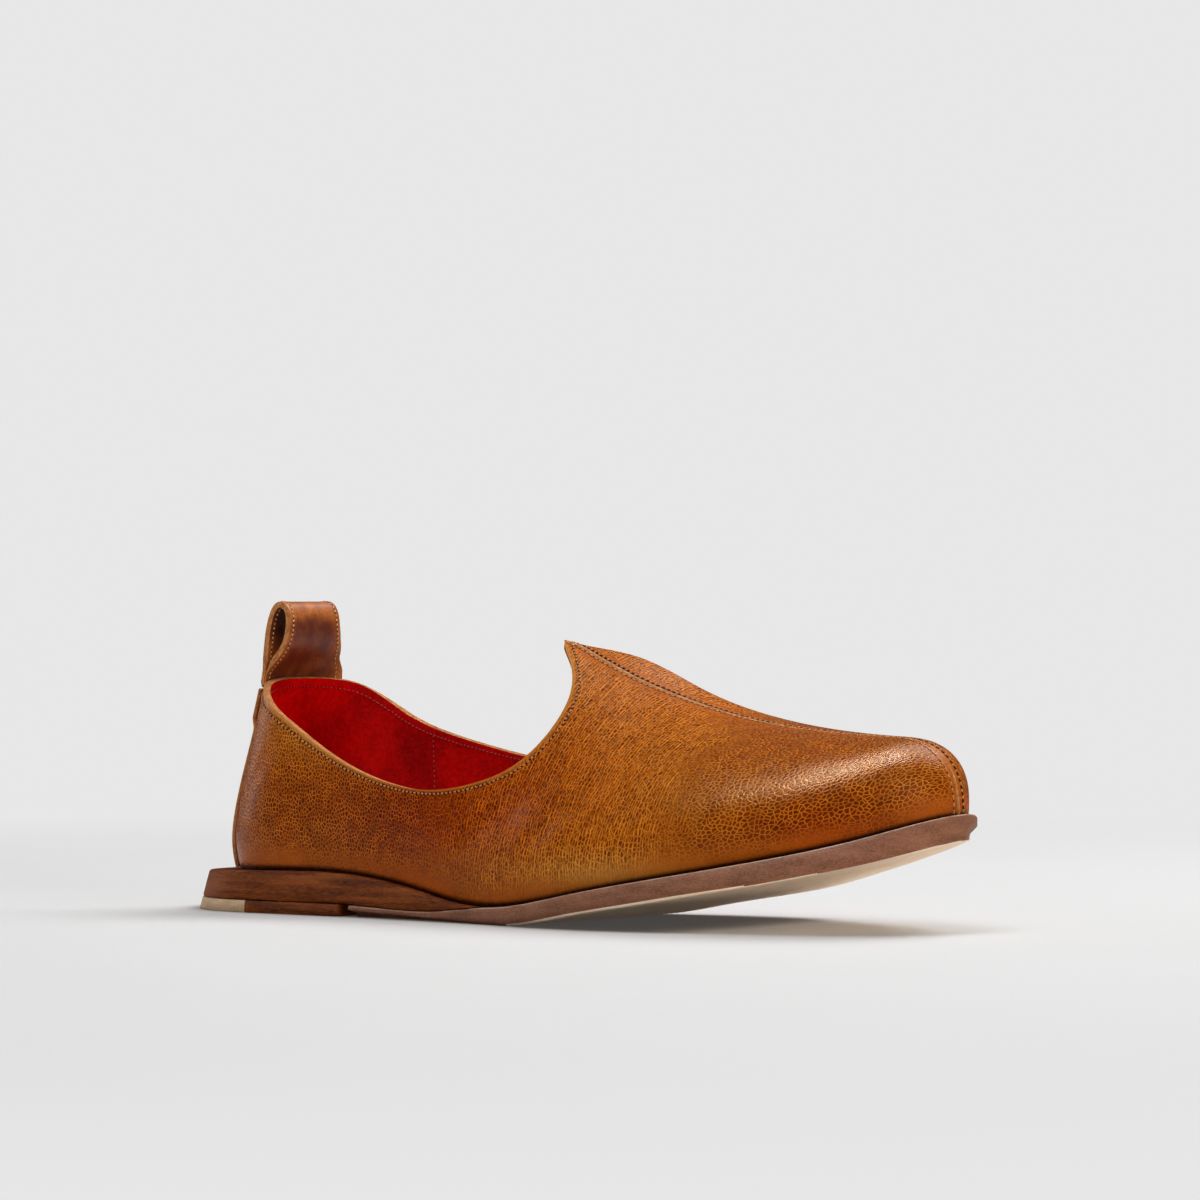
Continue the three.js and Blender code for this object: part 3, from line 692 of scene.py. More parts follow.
def crease_effect() -> Tree:
    """Pulled leather grain: wandering lighter lines that break off, with darker ridges between them."""
    tree, sheet, given = effect("pulled_grain", {"Place": "Vector"}, ["Vein", "Dome"])
    place = given.outputs["Place"]

    def stir(scale: float, reach: float) -> Socket:
        """Soft noise, as wide as its reach."""
        soft = sheet.noise(place, scale, 0.0, noise_dimensions="2D")
        return sheet.sum("MULTIPLY", soft.outputs["Fac"], reach)

    across = sheet.put("ShaderNodeSeparateXYZ", {0: place}).outputs["X"]
    phase = sheet.sum("ADD", across, sheet.sum("ADD", stir(0.25, 1.5), stir(0.9, 0.5)))
    ridge = sheet.sum("PINGPONG", phase, 0.5)
    broken = sheet.ramp(stir(0.9, 1.0), 0.34, 0.6, 0.4, 1.1)
    sheet.put("NodeGroupOutput", {
        "Vein": sheet.sum("MULTIPLY", sheet.ramp(ridge, 0.0, 0.28, 1.0, 0.0), broken),
        "Dome": sheet.ramp(ridge, 0.0, 0.4),
    })
    return tree


def mottle_effect() -> Tree:
    """Uneven dye: soft clouds with a little fine speckle."""
    tree, sheet, given = effect("uneven_dye", {"Place": "Vector", "Size": "Float"}, ["Cloud", "Speck"])
    place = given.outputs["Place"]
    scale = sheet.sum("DIVIDE", 1.0, given.outputs["Size"])
    cloud = sheet.noise(place, scale, 5.0)
    cloud.inputs["Roughness"].default_value = 0.6
    speck = sheet.noise(place, sheet.sum("MULTIPLY", scale, 14.0), 2.0)
    sheet.put("NodeGroupOutput", {
        "Cloud": sheet.ramp(cloud.outputs["Fac"], 0.32, 0.68),
        "Speck": sheet.ramp(speck.outputs["Fac"], 0.38, 0.66),
    })
    return tree


class Effects:
    """The shared effects, built once."""

    def __init__(self) -> None:
        """Builds every effect."""
        self.grain = grain_effect()
        self.creases = crease_effect()
        self.dye = mottle_effect()


def new_material(name: str, **values: object) -> tuple[Material, NodeSheet, Node]:
    """Starts a material.

    Args:
        name: Name of the finish.
        **values: Constant inputs of its Principled shader, with _ for spaces.

    Returns:
        The material, a sheet to lay it out on, and its Principled shader.
    """
    material = bpy.data.materials.new(name)
    material.use_nodes = True
    sheet = NodeSheet(material.node_tree)
    shader = next(n for n in material.node_tree.nodes if n.type == "BSDF_PRINCIPLED")
    for key, value in values.items():
        shader.inputs[key.replace("_", " ")].default_value = value
    return material, sheet, shader


@dataclass(frozen=True)
class TanLeather:
    """Waxed tan leather with creased grain, smoother and lighter along its lower edge and beside the seam; the
    lighter lower edge is partly a painted reflection of the floor, and the wall carries painted light and
    shade.
    """

    name: str = "tan_leather"
    deep: Colour = srgb(88, 24, 0)
    body: Colour = srgb(134, 50, 1)
    vein: Colour = srgb(240, 140, 34)
    # lighter, smoother tone of the lower edge and the seam side; along the lower edge it is partly a painted
    # reflection of the floor
    satin_and_floor_reflection: Colour = srgb(224, 116, 30)
    edge: Colour = srgb(208, 136, 62)
    shade: Colour = srgb(22, 9, 4)
    gleam: Colour = srgb(255, 216, 168)
    # cell across, cell along and lean of the grain at the quarter, the vamp and the toe
    lies: Rows = ((1.1, 1.4, 4), (1.25, 1.8, 10), (1.6, 1.25, 0))
    pull: tuple[float, float, float] = (1.15, 2.8, 8)
    # x between which the quarter's grain leads over to the vamp's, and the vamp's to the toe's
    vamp_x: tuple[float, float] = (-28.0, 0.0)
    toe_x: tuple[float, float] = (66.0, 90.0)
    # distances between which a mask fades, and its shares there: smoother, lighter foot (partly a painted
    # reflection of the floor), seam side, collar rim, dark foot (painted shade where the upper tucks into the
    # sole)
    worn_foot: Ramp = (2.0, 10.0, 1.0, 0.0)
    seam_side: Ramp = (1.6, 5.0, 0.7, 0.0)
    collar_rim: Ramp = (0.7, 2.0, 0.8, 0.0)
    # painted shade: near-black along the upper's foot, where it tucks into the sole
    foot_tuck_shade: Ramp = (0.5, 2.2, 0.95, 0.0)
    cloud_size: float = 24.0
    cloud_drift: float = 14.0
    rough: tuple[float, float] = (0.24, 0.34)
    gloss: float = 0.11
    relief: float = 0.14
    strength: float = 0.3

    def make(self, effects: Effects) -> Material:
        """Lays out the finish.

        Args:
            effects: The shared effects.

        Returns:
            The material; it reads the point attributes collar, feather, seam, run and girth in
            millimetres, and burnish.
        """
        material, sheet, shader = new_material(
            self.name, Specular_IOR_Level=self.gloss, Specular_Tint=self.gleam,
        )
        dye = sheet.group(effects.dye, Place=sheet.millimetres(), Size=self.cloud_size)
        grains = [sheet.group(effects.grain, Place=sheet.cells(*lie)) for lie in self.lies]
        pulled = sheet.group(effects.creases, Place=sheet.cells(*self.pull))
        along = sheet.put("ShaderNodeSeparateXYZ", {0: sheet.millimetres()}).outputs["X"]
        drift = sheet.sum("ADD", along, sheet.sum("MULTIPLY", dye.outputs["Cloud"], self.cloud_drift))
        front, tip = (sheet.ramp(drift, *span) for span in (self.vamp_x, self.toe_x))

        def grain(name: str) -> Socket:
            """One value of the grain, led over from the quarter to the vamp to the toe."""
            quarter, vamp, toe = (part.outputs[name] for part in grains)
            return sheet.blend(tip, sheet.blend(front, quarter, vamp), toe)

        drawn = sheet.sum("MULTIPLY", front, sheet.sum("SUBTRACT", 1.0, tip))
        lines = sheet.sum("MULTIPLY", pulled.outputs["Vein"], drawn)
        fading = sheet.ramp(sheet.sum("ADD", front, tip), 0.0, 2.0, 0.9, 0.72)
        net = sheet.sum("MULTIPLY", grain("Vein"), fading)
        vein = sheet.sum("MAXIMUM", net, lines)
        dome = sheet.sum("MINIMUM", grain("Dome"), sheet.blend(drawn, 1.0, pulled.outputs["Dome"]))
        # lower band: smoother grain and a lighter tone, the lighter tone partly a painted reflection of the
        # floor
        low = sheet.ramp(sheet.measure("feather"), *self.worn_foot)
        beside = sheet.ramp(sheet.measure("seam"), *self.seam_side)
        smooth = sheet.sum("MAXIMUM", low, beside)
        patchy = sheet.sum("MULTIPLY", smooth, sheet.blend(0.5, dye.outputs["Cloud"], 1.0))
        body = sheet.tint(sheet.blend(0.5, dye.outputs["Cloud"], grain("Tone")), self.deep, self.body)
        calm = sheet.sum("MULTIPLY_ADD", patchy, -0.85)
        calm.node.inputs[2].default_value = 1.0
        veined = sheet.tint(sheet.sum("MULTIPLY", vein, calm, clamp=True), body, self.vein)
        toned_and_painted_light = sheet.tint(sheet.sum("MULTIPLY", patchy, 0.6), veined, self.satin_and_floor_reflection)
        rim = sheet.ramp(sheet.measure("collar"), *self.collar_rim)
        edged = sheet.tint(rim, toned_and_painted_light, self.edge)
        # painted shade along the upper's foot, where it tucks into the sole
        foot = sheet.ramp(sheet.measure("feather"), *self.foot_tuck_shade)
        # painted light and shade, with some burnished tone: a gamma lightens or darkens the colour
        worn = sheet.sum("SUBTRACT", 1.0, sheet.measure("burnish_and_painted_light"))
        toned = sheet.put("ShaderNodeGamma", {"Color": edged, "Gamma": worn}).outputs[0]
        height = sheet.sum("MULTIPLY", dome, sheet.sum("SUBTRACT", 1.0, sheet.sum("MULTIPLY", patchy, 0.7)))
        sheet.feed(
            shader, Base_Color=sheet.tint(foot, toned, self.shade),
            Roughness=sheet.ramp(dye.outputs["Speck"], 0.0, 1.0, *self.rough),
            Normal=sheet.bump(height, self.relief, self.strength),
        )
        return material


@dataclass(frozen=True)
class DyedLeather:
    """Plain dyed leather: two tones in clouds, a fine speckle and a light nap."""

    name: str
    deep: Colour
    body: Colour
    size: float = 9.0
    stretch: tuple[float, float, float] = (1, 1, 1)
    rough: tuple[float, float] = (0.5, 0.65)
    relief: float = 0.08
    speck: float = 0.3
    coat: float = 0.0
    gloss: float = 0.15
    strength: float = 0.6
    # darker colour laid on where a point attribute says: partly the leather's darker colour, partly painted
    # shade
    worn: Colour | None = None

    def make(self, effects: Effects) -> Material:
        """Lays out the finish.

        Args:
            effects: The shared effects.

        Returns:
            The material.
        """
        material, sheet, shader = new_material(
            self.name, Coat_Weight=self.coat, Coat_Roughness=0.3, Specular_IOR_Level=self.gloss,
        )
        dye = sheet.group(effects.dye, Place=sheet.millimetres(self.stretch), Size=self.size)
        share = sheet.blend(self.speck, dye.outputs["Cloud"], dye.outputs["Speck"])
        colour = sheet.tint(share, self.deep, self.body)
        # darker colour where the point attribute is set: partly the strap's darker colour, partly painted
        # shade
        if self.worn:
            strap_shading = sheet.sum("MULTIPLY", sheet.measure("tone_and_painted_shade"), sheet.ramp(share, 0.0, 1.0, 1.0, 0.75))
            colour = sheet.tint(strap_shading, colour, self.worn)
        sheet.feed(
            shader, Base_Color=colour, Roughness=sheet.ramp(dye.outputs["Speck"], 0.0, 1.0, *self.rough),
            Normal=sheet.bump(dye.outputs["Speck"], self.relief, self.strength),
        )
        return material


class Finishes:
    """Every finish of the shoe, made once."""

    def __init__(self, effects: Effects) -> None:
        """Makes the materials.

        Args:
            effects: The shared effects.
        """
        def dyed(name: str, deep: Tone, body: Tone, **values: object) -> Material:
            """One plain dyed leather, from two display colours."""
            return DyedLeather(name, srgb(*deep), srgb(*body), **values).make(effects)

        dry, matt, sewn = (0.6, 0.75), (0.8, 0.95), {"size": 1.2, "rough": (0.5, 0.65)}
        edge = {"size": 4, "stretch": (3, 3, 1)}
        self.tan = TanLeather().make(effects)
        self.lining = dyed("red_lining", (164, 0, 1), (232, 1, 3), size=18, rough=dry, gloss=0.03)
        self.raw_edge = dyed(
            "raw_edge", (142, 76, 28), (230, 160, 96), size=2.2, rough=dry, speck=0.55, gloss=0.05,
        )
        # the strap darkens on the loop's front below its lit top, partly its darker colour and partly painted
        # shade, and inside near the top as painted shade
        self.strap = dyed(
            "strap_leather", (136, 66, 16), (204, 116, 46), size=7, rough=(0.32, 0.46), coat=0.1,
            worn=srgb(96, 36, 18),
        )
        self.sole_edge = dyed("sole_edge", (122, 75, 52), (168, 113, 84), rough=(0.5, 0.7), speck=0.5, **edge)
        # painted highlight: lighter arris along the outsole's top edge
        self.sole_arris_highlight = dyed("sole_arris_highlight", (150, 104, 80), (218, 172, 142), size=9, rough=(0.5, 0.7))
        self.sole_under = dyed("sole_under", (255, 218, 182), (255, 236, 208), size=22, rough=dry, speck=0.2)
        self.stack = dyed(
            "stacked_leather", (70, 26, 6), (162, 84, 30), size=2.4, stretch=(12, 12, 1), rough=(0.42, 0.6),
            speck=0.4, gloss=0.05,
        )
        self.tip = dyed("pale_tip", (188, 154, 118), (226, 194, 156), rough=(0.6, 0.8), **edge)
        self.thread = dyed("waxed_thread", (178, 104, 44), (226, 162, 90), **sewn)
        self.cream_thread = dyed("cream_thread", (208, 152, 92), (242, 206, 152), **sewn)
        self.hole = dyed("needle_hole", (22, 8, 2), (46, 20, 8), size=2, rough=matt, gloss=0.02)
        # painted shade: dark top ledge of the outsole, beside the upper's foot
        self.ledge_shade = dyed("painted_shade_ledge", (66, 38, 24), (108, 68, 46), size=5, rough=dry)
        self.red_hole = dyed("red_needle_hole", (120, 0, 0), (160, 2, 2), size=2, rough=matt)
        self.red_thread = dyed("red_thread", (190, 2, 2), (235, 10, 10), size=1.2, rough=dry)


def new_piece(
    name: str, bm: Mesh, materials: list[Material], replaced: str | None = None,
) -> bpy.types.Object:
    """Makes an object from a settled mesh and hangs it on the frame.

    Args:
        name: Name of the piece.
        bm: Its mesh, in metres; freed here.
        materials: Its materials in slot order.
        replaced: CAD node that it stands for.

    Returns:
        The piece.
    """
    mesh = bpy.data.meshes.new(name)
    for face in bm.faces:
        face.smooth = True
    bm.to_mesh(mesh)
    bm.free()
    for material in materials:
        mesh.materials.append(material)
    piece = bpy.data.objects.new(name, mesh)
    bpy.context.scene.collection.objects.link(piece)
    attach(piece, "root")
    if replaced:
        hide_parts(replaced)
    LOG.info("%s: %d faces", name, len(mesh.polygons))
    return piece


def add_wall(piece: bpy.types.Object, thickness: float, inner: int, rim: int) -> None:
    """Gives a skin its thickness inwards.

    Args:
        piece: The skin.
        thickness: Wall in millimetres.
        inner: Material step of the inside.
        rim: Material step of the cut edge.
    """
    wall = piece.modifiers.new("wall", "SOLIDIFY")
    wall.thickness = thickness * MM
    wall.offset = -1.0
    wall.material_offset, wall.material_offset_rim = inner, rim


def break_edges(piece: bpy.types.Object, width: float, segments: int = 2, angle: float = 40) -> None:
    """Rounds a piece's sharp edges.

    Args:
        piece: The piece.
        width: Width of the rounding in millimetres.
        segments: Steps across it.
        angle: Edges sharper than this, in degrees, are rounded.
    """
    edge = piece.modifiers.new("edge", "BEVEL")
    edge.width = width * MM
    edge.segments = segments
    edge.limit_method = "ANGLE"
    edge.angle_limit = math.radians(angle)
    edge.use_clamp_overlap = True


@dataclass(frozen=True)
class Stitching:
    """One kind of sewn row: threads on the surface with a needle hole between them, in millimetres."""

    pitch: float = 2.0
    thread: tuple[float, float, float] = (1.25, 0.5, 0.34)
    hole: tuple[float, float] = (0.62, 0.5)
    proud: float = 0.1
    hole_lift: float = 0.05

    def one(self) -> bpy.types.Mesh:
        """One thread with the needle hole after it, lying along X with Z out of the surface."""
        bm = bmesh.new()
        half_sizes = Matrix.Diagonal((*(s / 2 for s in self.thread), 1.0))
        lengthwise = half_sizes @ Matrix.Rotation(math.pi / 2, 4, "Y")
        raised = Matrix.Translation((0, 0, self.proud)) @ lengthwise
        bmesh.ops.create_uvsphere(bm, u_segments=8, v_segments=5, radius=1.0, matrix=raised)
        middle = Matrix.Translation((self.pitch / 2, 0, self.hole_lift))
        spot = middle @ Matrix.Diagonal((*self.hole, 1.0, 1.0))
        made = bmesh.ops.create_circle(bm, cap_ends=True, segments=8, radius=0.5, matrix=spot)
        for face in {f for v in made["verts"] for f in v.link_faces}:
            face.material_index = 1
        stitch = bpy.data.meshes.new("stitch")
        bm.to_mesh(stitch)
        bm.free()
        return stitch

    def sew(self, bm: Mesh, places: Array, ahead: Array, out: Array) -> None:
        """Adds a row's threads and holes to a mesh.

        Args:
            bm: Mesh to add to, in millimetres; material 0 is the thread and 1 the hole.
            places: Middles of the threads, on the surface.
            ahead: Unit directions of the row.
            out: Unit directions out of the surface.
        """
        stitch = self.one()
        for place, run, normal in zip(places, ahead, out):
            across = np.cross(normal, run)
            across /= max(np.linalg.norm(across), TINY)
            turn = Matrix((np.cross(across, normal), across, normal)).transposed().to_4x4()
            seat = Matrix.Translation(Vector(place)) @ turn
            stitch.transform(seat)
            bm.from_mesh(stitch)
            stitch.transform(seat.inverted())
        bpy.data.meshes.remove(stitch)


@dataclass
class Upper:
    """The upper's wall with its lining, centre seam and sewn collar."""

    last: Last
    finishes: Finishes
    half_columns: int = 130
    rows: int = 76
    collar_row: float = 3.0
    edge: float = 0.5
    collar_sewing: Stitching = Stitching(pitch=1.7, thread=(1.05, 0.62, 0.42), hole=(0.95, 0.72), proud=0.14)
    seam_upper: Stitching = Stitching(pitch=2.1, thread=(0.9, 0.8, 0.5), hole=(1.35, 1.15))
    seam_lower: Stitching = Stitching(pitch=2.2, thread=(1.5, 0.6, 0.4), hole=(0.7, 0.55))
    seam_rows: tuple[float, float] = (1.15, -1.1)
    seam_trim: float = 1.5
    # how far the sewn rows part at the toe, where that begins and over what length
    seam_spread: tuple[float, float, float] = (1.3, 258.0, 26.0)
    # half-width and rise of the welt, and how deep it is set in
    welt: tuple[float, float, float] = (0.72, 0.32, 0.12)
    strap_clear: float = 0.8
    lining_seam_x: float = 64.0
    lining_seam_foot: float = 4.0
    lining_lift: float = 0.05
    # side view of each crease: two ends (x, z), depth, half-width
    creases: Rows = (
        (150, 34, 168, 52, 0.35, 3.0), (162, 26, 184, 46, 0.4, 3.5), (178, 26, 200, 42, 0.3, 3.2),
        (128, 22, 146, 36, 0.3, 3.5), (30, 34, 44, 52, 0.25, 3.0), (60, 22, 100, 25, 0.3, 4.0),
    )
    # side view of each place toned lighter or darker, mostly painted light and shade (painted highlights on
    # the toe, a painted reflection of the floor low on the vamp, painted shade on faces turned from the light)
    # with some burnished tone: middle (x, z), half-lengths, darker below 0
    burnish_and_painted_light: Rows = (
        (112, 33, 38, 16, -0.46), (156, 44, 24, 18, -0.18), (235, 41, 22, 11, 0.15), (262, 33, 24, 8, -0.24),
        (55, 56, 14, 9, 0.15), (278, 52, 12, 8, 0.12), (190, 17, 34, 7, 0.3), (48, 36, 22, 14, -0.12),
    )

    def __post_init__(self) -> None:
        """Works out the wall, with its creases pressed in."""
        points = self.last.wall_points(self.half_columns, self.rows)
        self.run, self.girth = self.grain_places(points)
        self.points = points + outward(points) * self.crease_depth(points)[..., None]
        steps = np.linalg.norm(np.diff(self.points, axis=1), axis=-1)
        zero = np.zeros((len(steps), 1))
        self.above_foot = np.concatenate([zero, np.cumsum(steps, axis=1)], axis=1)
        self.below_collar = self.above_foot[:, -1:] - self.above_foot
        self.seam = self.last.seam_points(160)

    def grain_places(self, points: Array) -> tuple[Array, Array]:
        """Lengths along and up the skin for the grain to lie on, running on over the ridge.

        Args:
            points: Points of the wall.

        Returns:
            Lengths from the back seam, and up from the outer side's bottom edge.
        """
        last, turn = self.last, self.half_columns + 1
        x, z = points[..., 0], points[..., 2]
        run, girth = last.skin_places(Side.OUTER, x[:turn], z[:turn])
        far_run, far_girth = last.skin_places(Side.INNER, x[turn:], z[turn:])
        front = np.maximum(x[turn:], last.throat_x)
        over = sum(last.skin_places(side, front, last.ridge(front))[1] for side in Side)
        return np.concatenate([run, far_run]), np.concatenate([girth, over - far_girth])

    def crease_depth(self, points: Array) -> Array:
        """How far each crease presses the wall in.

        Args:
            points: Points of the wall.

        Returns:
            Depths, below zero where pressed in.
        """
        depth = np.zeros(points.shape[:2])
        for x0, z0, x1, z1, deep, wide in self.creases:
            start, line = np.array([x0, z0]), np.array([x1 - x0, z1 - z0])
            flat = points[..., [0, 2]] - start
            share = flat @ line / (line @ line)
            off = np.linalg.norm(flat - np.clip(share, 0, 1)[..., None] * line, axis=-1)
            depth -= deep * np.exp(-(off / wide) ** 2)
        return depth

    def burnish_and_painted_light_tone(self) -> Array:
        """How far each point of the wall is toned lighter, or darker where below 0: mostly painted light and
        shade, with some burnished tone.
        """
        x, z = self.points[..., 0], self.points[..., 2]
        return sum(
            tone * np.exp(-((x - x0) / long) ** 2 - ((z - z0) / high) ** 2)
            for x0, z0, long, high, tone in self.burnish_and_painted_light
        )

    def seam_distance(self) -> Array:
        """Distance of each point of the wall from the centre seam."""
        flat = self.points.reshape(-1, 3)
        near = np.full(len(flat), np.inf)
        for place in self.seam[::2]:
            near = np.minimum(near, np.linalg.norm(flat - place, axis=-1))
        return near.reshape(self.points.shape[:2])

    def build(self) -> None:
        """Makes every piece of the upper."""
        bm = shaped_grid(self.points, {
            "collar": self.below_collar, "feather": self.above_foot, "seam": self.seam_distance(),
            "run": self.run, "girth": self.girth, "burnish_and_painted_light": self.burnish_and_painted_light_tone(),
        })
        self.skin = BVHTree.FromBMesh(bm)
        self.last.settle(bm)
        f = self.finishes
        shell = new_piece("upper_shell", bm, [f.tan, f.lining, f.raw_edge], "upper")
        add_wall(shell, self.last.wall, inner=1, rim=2)
        break_edges(shell, self.edge)
        self.build_seam()
        self.build_collar_sewing()
        self.build_lining_sewing()

    def snapped(self, places: Array) -> tuple[Array, Array]:
        """Nearest points of the skin.

        Args:
            places: Points near it.

        Returns:
            Points on the skin and its outward directions there.
        """
        found = [self.skin.find_nearest(Vector(p)) for p in places]
        return np.array([hit[0] for hit in found]), np.array([hit[1] for hit in found])

    def beside_seam(self, offset: float) -> Path:
        """A line on the skin beside the centre seam, above it where offset is over 0."""
        places, ahead = Path(self.seam).paced(1.0)
        on, out = self.snapped(places)
        across = np.cross(out, ahead)
        across *= np.where(across[:, 1:2] + across[:, 2:3] * 0.4 > 0, 1.0, -1.0)
        widest, start, length = self.seam_spread
        spread = 1 + widest * ease((places[:, :1] - start) / length)
        moved, _ = self.snapped(on + across * offset * spread)
        return Path(moved)

    def build_seam(self) -> None:
        """Makes the raised welt of the centre seam and its two sewn rows."""
        half, rise, sunk = self.welt
        centre = Path(self.seam).paced(1.0)[0]
        places, ahead = Path(self.snapped(centre)[0]).paced(1.2)
        on, out = self.snapped(places)
        across = np.cross(out, ahead)
        angle = np.linspace(0, 2 * math.pi, 13)
        ring = (
            on[:, None] + across[:, None] * (half * np.cos(angle))[None, :, None]
            + out[:, None] * (rise * np.sin(angle) - sunk)[None, :, None]
        )
        bm = shaped_grid(ring)
        close_ends(bm)
        self.last.settle(bm)
        new_piece("centre_welt", bm, [self.finishes.raw_edge])
        kinds = {"seam_row_upper": self.seam_upper, "seam_row_lower": self.seam_lower}
        for (name, kind), offset in zip(kinds.items(), self.seam_rows):
            self.sew_line(name, kind, self.beside_seam(offset), self.seam_trim)

    def sew_line(self, name: str, kind: Stitching, line: Path, trim: float = 0.0) -> None:
        """Sews one row along a line on the skin.

        Args:
            name: Name of the piece.
            kind: Kind of sewing.
            line: Line to follow.
            trim: Length left free at each end.
        """
        places, ahead = line.paced(kind.pitch, trim)
        on, out = self.snapped(places)
        bm = bmesh.new()
        kind.sew(bm, on, ahead, out)
        self.last.settle(bm)
        new_piece(name, bm, [self.finishes.thread, self.finishes.hole])

    def level_line(self, below: float) -> Array:
        """Points of the wall at a distance below the collar, by column."""
        share = [np.interp(-below, -b, np.arange(len(b))) for b in self.below_collar]
        rows = np.arange(self.points.shape[1])
        return np.array([
            [np.interp(s, rows, axis) for axis in column.T] for s, column in zip(share, self.points)
        ])

    def build_collar_sewing(self) -> None:
        """Sews round the collar from one side of the back strip to the other."""
        line = self.level_line(self.collar_row)
        clear = BackStrap.inner + self.strap_clear
        keep = (np.abs(line[:, 1]) > clear) | (line[:, 0] > self.last.breast_x)
        self.sew_line("collar_row", self.collar_sewing, Path(line[keep]))

    def build_lining_sewing(self) -> None:
        """Sews the lining: a row below the collar inside, and an upright row on the inner side."""
        bm = bmesh.new()
        wall = self.last.wall + self.lining_lift
        collar = Path(self.level_line(self.collar_row))
        edge = self.last.collar_edge[Side.INNER].points[:200]
        top = float(np.interp(self.lining_seam_x, *edge.T)) - self.collar_row
        z = np.linspace(top, float(self.last.feather(self.lining_seam_x)) + self.lining_seam_foot, 40)
        x = np.full_like(z, self.lining_seam_x)
        upright = Path(np.stack([x, self.last.upper_y(Side.INNER, x, z), z], -1))
        for line in (collar, upright):
            places, ahead = line.paced(self.collar_sewing.pitch)
            on, out = self.snapped(places)
            self.collar_sewing.sew(bm, on - out * wall, ahead, -out)
        self.last.settle(bm)
        new_piece("lining_row", bm, [self.finishes.red_thread, self.finishes.red_hole])


@dataclass
class BackStrap:
    """The strip over the back seam and the strap that forms the pull loop."""

    last: Last
    finishes: Finishes
    outer: float = 16.5
    inner: float = 17.6
    top_half: float = 13.0
    twist: float = 0.12
    strap: float = 2.0
    tail: float = 0.5
    strip: float = 1.3
    tail_z: float = 66.0
    strip_top_z: float = 72.5
    back_leg: float = 1.8
    bulge: float = 1.5
    # where the back leg steps out over the strip's top, and over what height
    step: tuple[float, float] = (0.1, 0.5)
    thicken_height: float = 5.0
    twist_height: float = 6.0
    release_height: float = 2.0
    strip_clear: float = 0.2
    sewing_ends: tuple[float, float] = (2.0, 1.0)
    join_z: float = 77.0
    top_z: float = 101.0
    climb_height: float = 5.0
    sewing_inset: float = 2.1
    grip_left: float = 0.05
    edge: float = 0.4
    loop_edge: float = 0.45
    # height over the join by which the strap has narrowed on its inner side, and how much wider it stays
    inner_taper: tuple[float, float] = (17.0, 0.6)
    # how far below the join the strap begins to come off the heel, and over what height, on either side
    outer_release: tuple[float, float] = (10.0, 24.0)
    inner_release: tuple[float, float] = (1.5, 13.0)
    # top of the darker front and how it fades, bottom of the darkened inside and how it fades; the front below
    # its lit top is partly the strap's darker colour and partly painted shade, the inside near the top is
    # painted shade
    toned_and_painted_light: tuple[float, float] = (98.0, 5.0)
    darkened: tuple[float, float] = (84.0, 8.0)
    sewing: Stitching = Stitching(pitch=1.55, thread=(0.95, 0.48, 0.38), hole=(0.6, 0.5), proud=0.12)

    def stand_off(self, z: Array) -> Array:
        """How far the strip stands off the upper; it rides over the strap's tails near the top."""
        over = ease((z - (self.tail_z - 1.5 * self.climb_height)) / self.climb_height)
        return self.last.gap + over * (2 * self.tail + self.last.gap)

    def build(self) -> None:
        """Makes the strip, the loop and their sewing."""
        self.build_strip()
        self.build_loop()

    def build_strip(self) -> None:
        """Makes the strip over the back seam."""
        low = self.last.heel_foot[1] + self.strip_clear
        y, z = np.meshgrid(
            np.linspace(self.inner, -self.outer, 25), np.linspace(low, self.strip_top_z, 61), indexing="ij",
        )
        f = self.finishes
        bm = shaped_grid(self.last.heel_back(y, z, self.stand_off(z) + self.strip))
        self.last.settle(bm)
        strip = new_piece("back_strip_leather", bm, [f.strap, f.strap, f.raw_edge], "back_strip")
        add_wall(strip, self.strip, inner=1, rim=2)
        break_edges(strip, self.edge)
        bm = bmesh.new()
        for side in Side:
            z = np.linspace(low + self.sewing_ends[0], self.strip_top_z - self.sewing_ends[1], 80)
            half = self.outer if side is Side.OUTER else self.inner
            y = np.full_like(z, side.value * (half - self.sewing_inset))
            line = Path(self.last.heel_back(y, z, self.stand_off(z) + self.strip))
            places, ahead = line.paced(self.sewing.pitch)
            y, z = places[:, 1], places[:, 2]
            out = self.last.heel_back(y, z, np.ones_like(y)) - self.last.heel_back(y, z, np.zeros_like(y))
            self.sewing.sew(bm, places, ahead, out)
        self.last.settle(bm)
        new_piece("strip_rows", bm, [f.cream_thread, f.hole])

    def outline(self) -> Array:
        """Side view of the loop's outer face, up the back leg, over the top and down the front leg."""
        low, join, top, thick = self.strip_top_z, self.join_z, self.top_z, 2 * self.tail
        base, foot, edge = (float(self.last.heel_x(z)) - self.last.gap for z in (join, self.tail_z, low))
        leg, bulge = edge - self.back_leg, base - self.bulge
        start, half_way, end = (low + self.step[0] + self.step[1] * share for share in (0, 0.5, 1))
        curves = np.array((
            ((edge - thick, start), (edge - thick, half_way), (leg, half_way), (leg, end)),
            ((leg, end), (mix(leg, bulge, 0.3), 75.5), (mix(leg, bulge, 0.7), 77), (bulge, 78.4)),
            ((bulge, 78.4), (base - 1.2, 81), (base - 0.8, 87.5), (base - 0.6, 92.5)),
            ((base - 0.6, 92.5), (base - 0.4, 97.4), (base + 1.4, top), (base + 4.4, top)),
            ((base + 4.4, top), (base + 7.2, top), (base + 9.4, 98.4), (base + 9.6, 92)),
            ((base + 9.6, 92), (base + 9.8, 83.4), (base + 2.0, 80.4), (base, join)),
        ))
        t = np.linspace(0, 1, 24)[:-1]
        weights = np.stack([(1 - t) ** 3, 3 * (1 - t) ** 2 * t, 3 * (1 - t) * t * t, t ** 3], -1)
        ends = [(base, join), (foot, self.tail_z)]
        return np.concatenate([[(foot - thick, self.tail_z)], *(weights @ curve for curve in curves), ends])

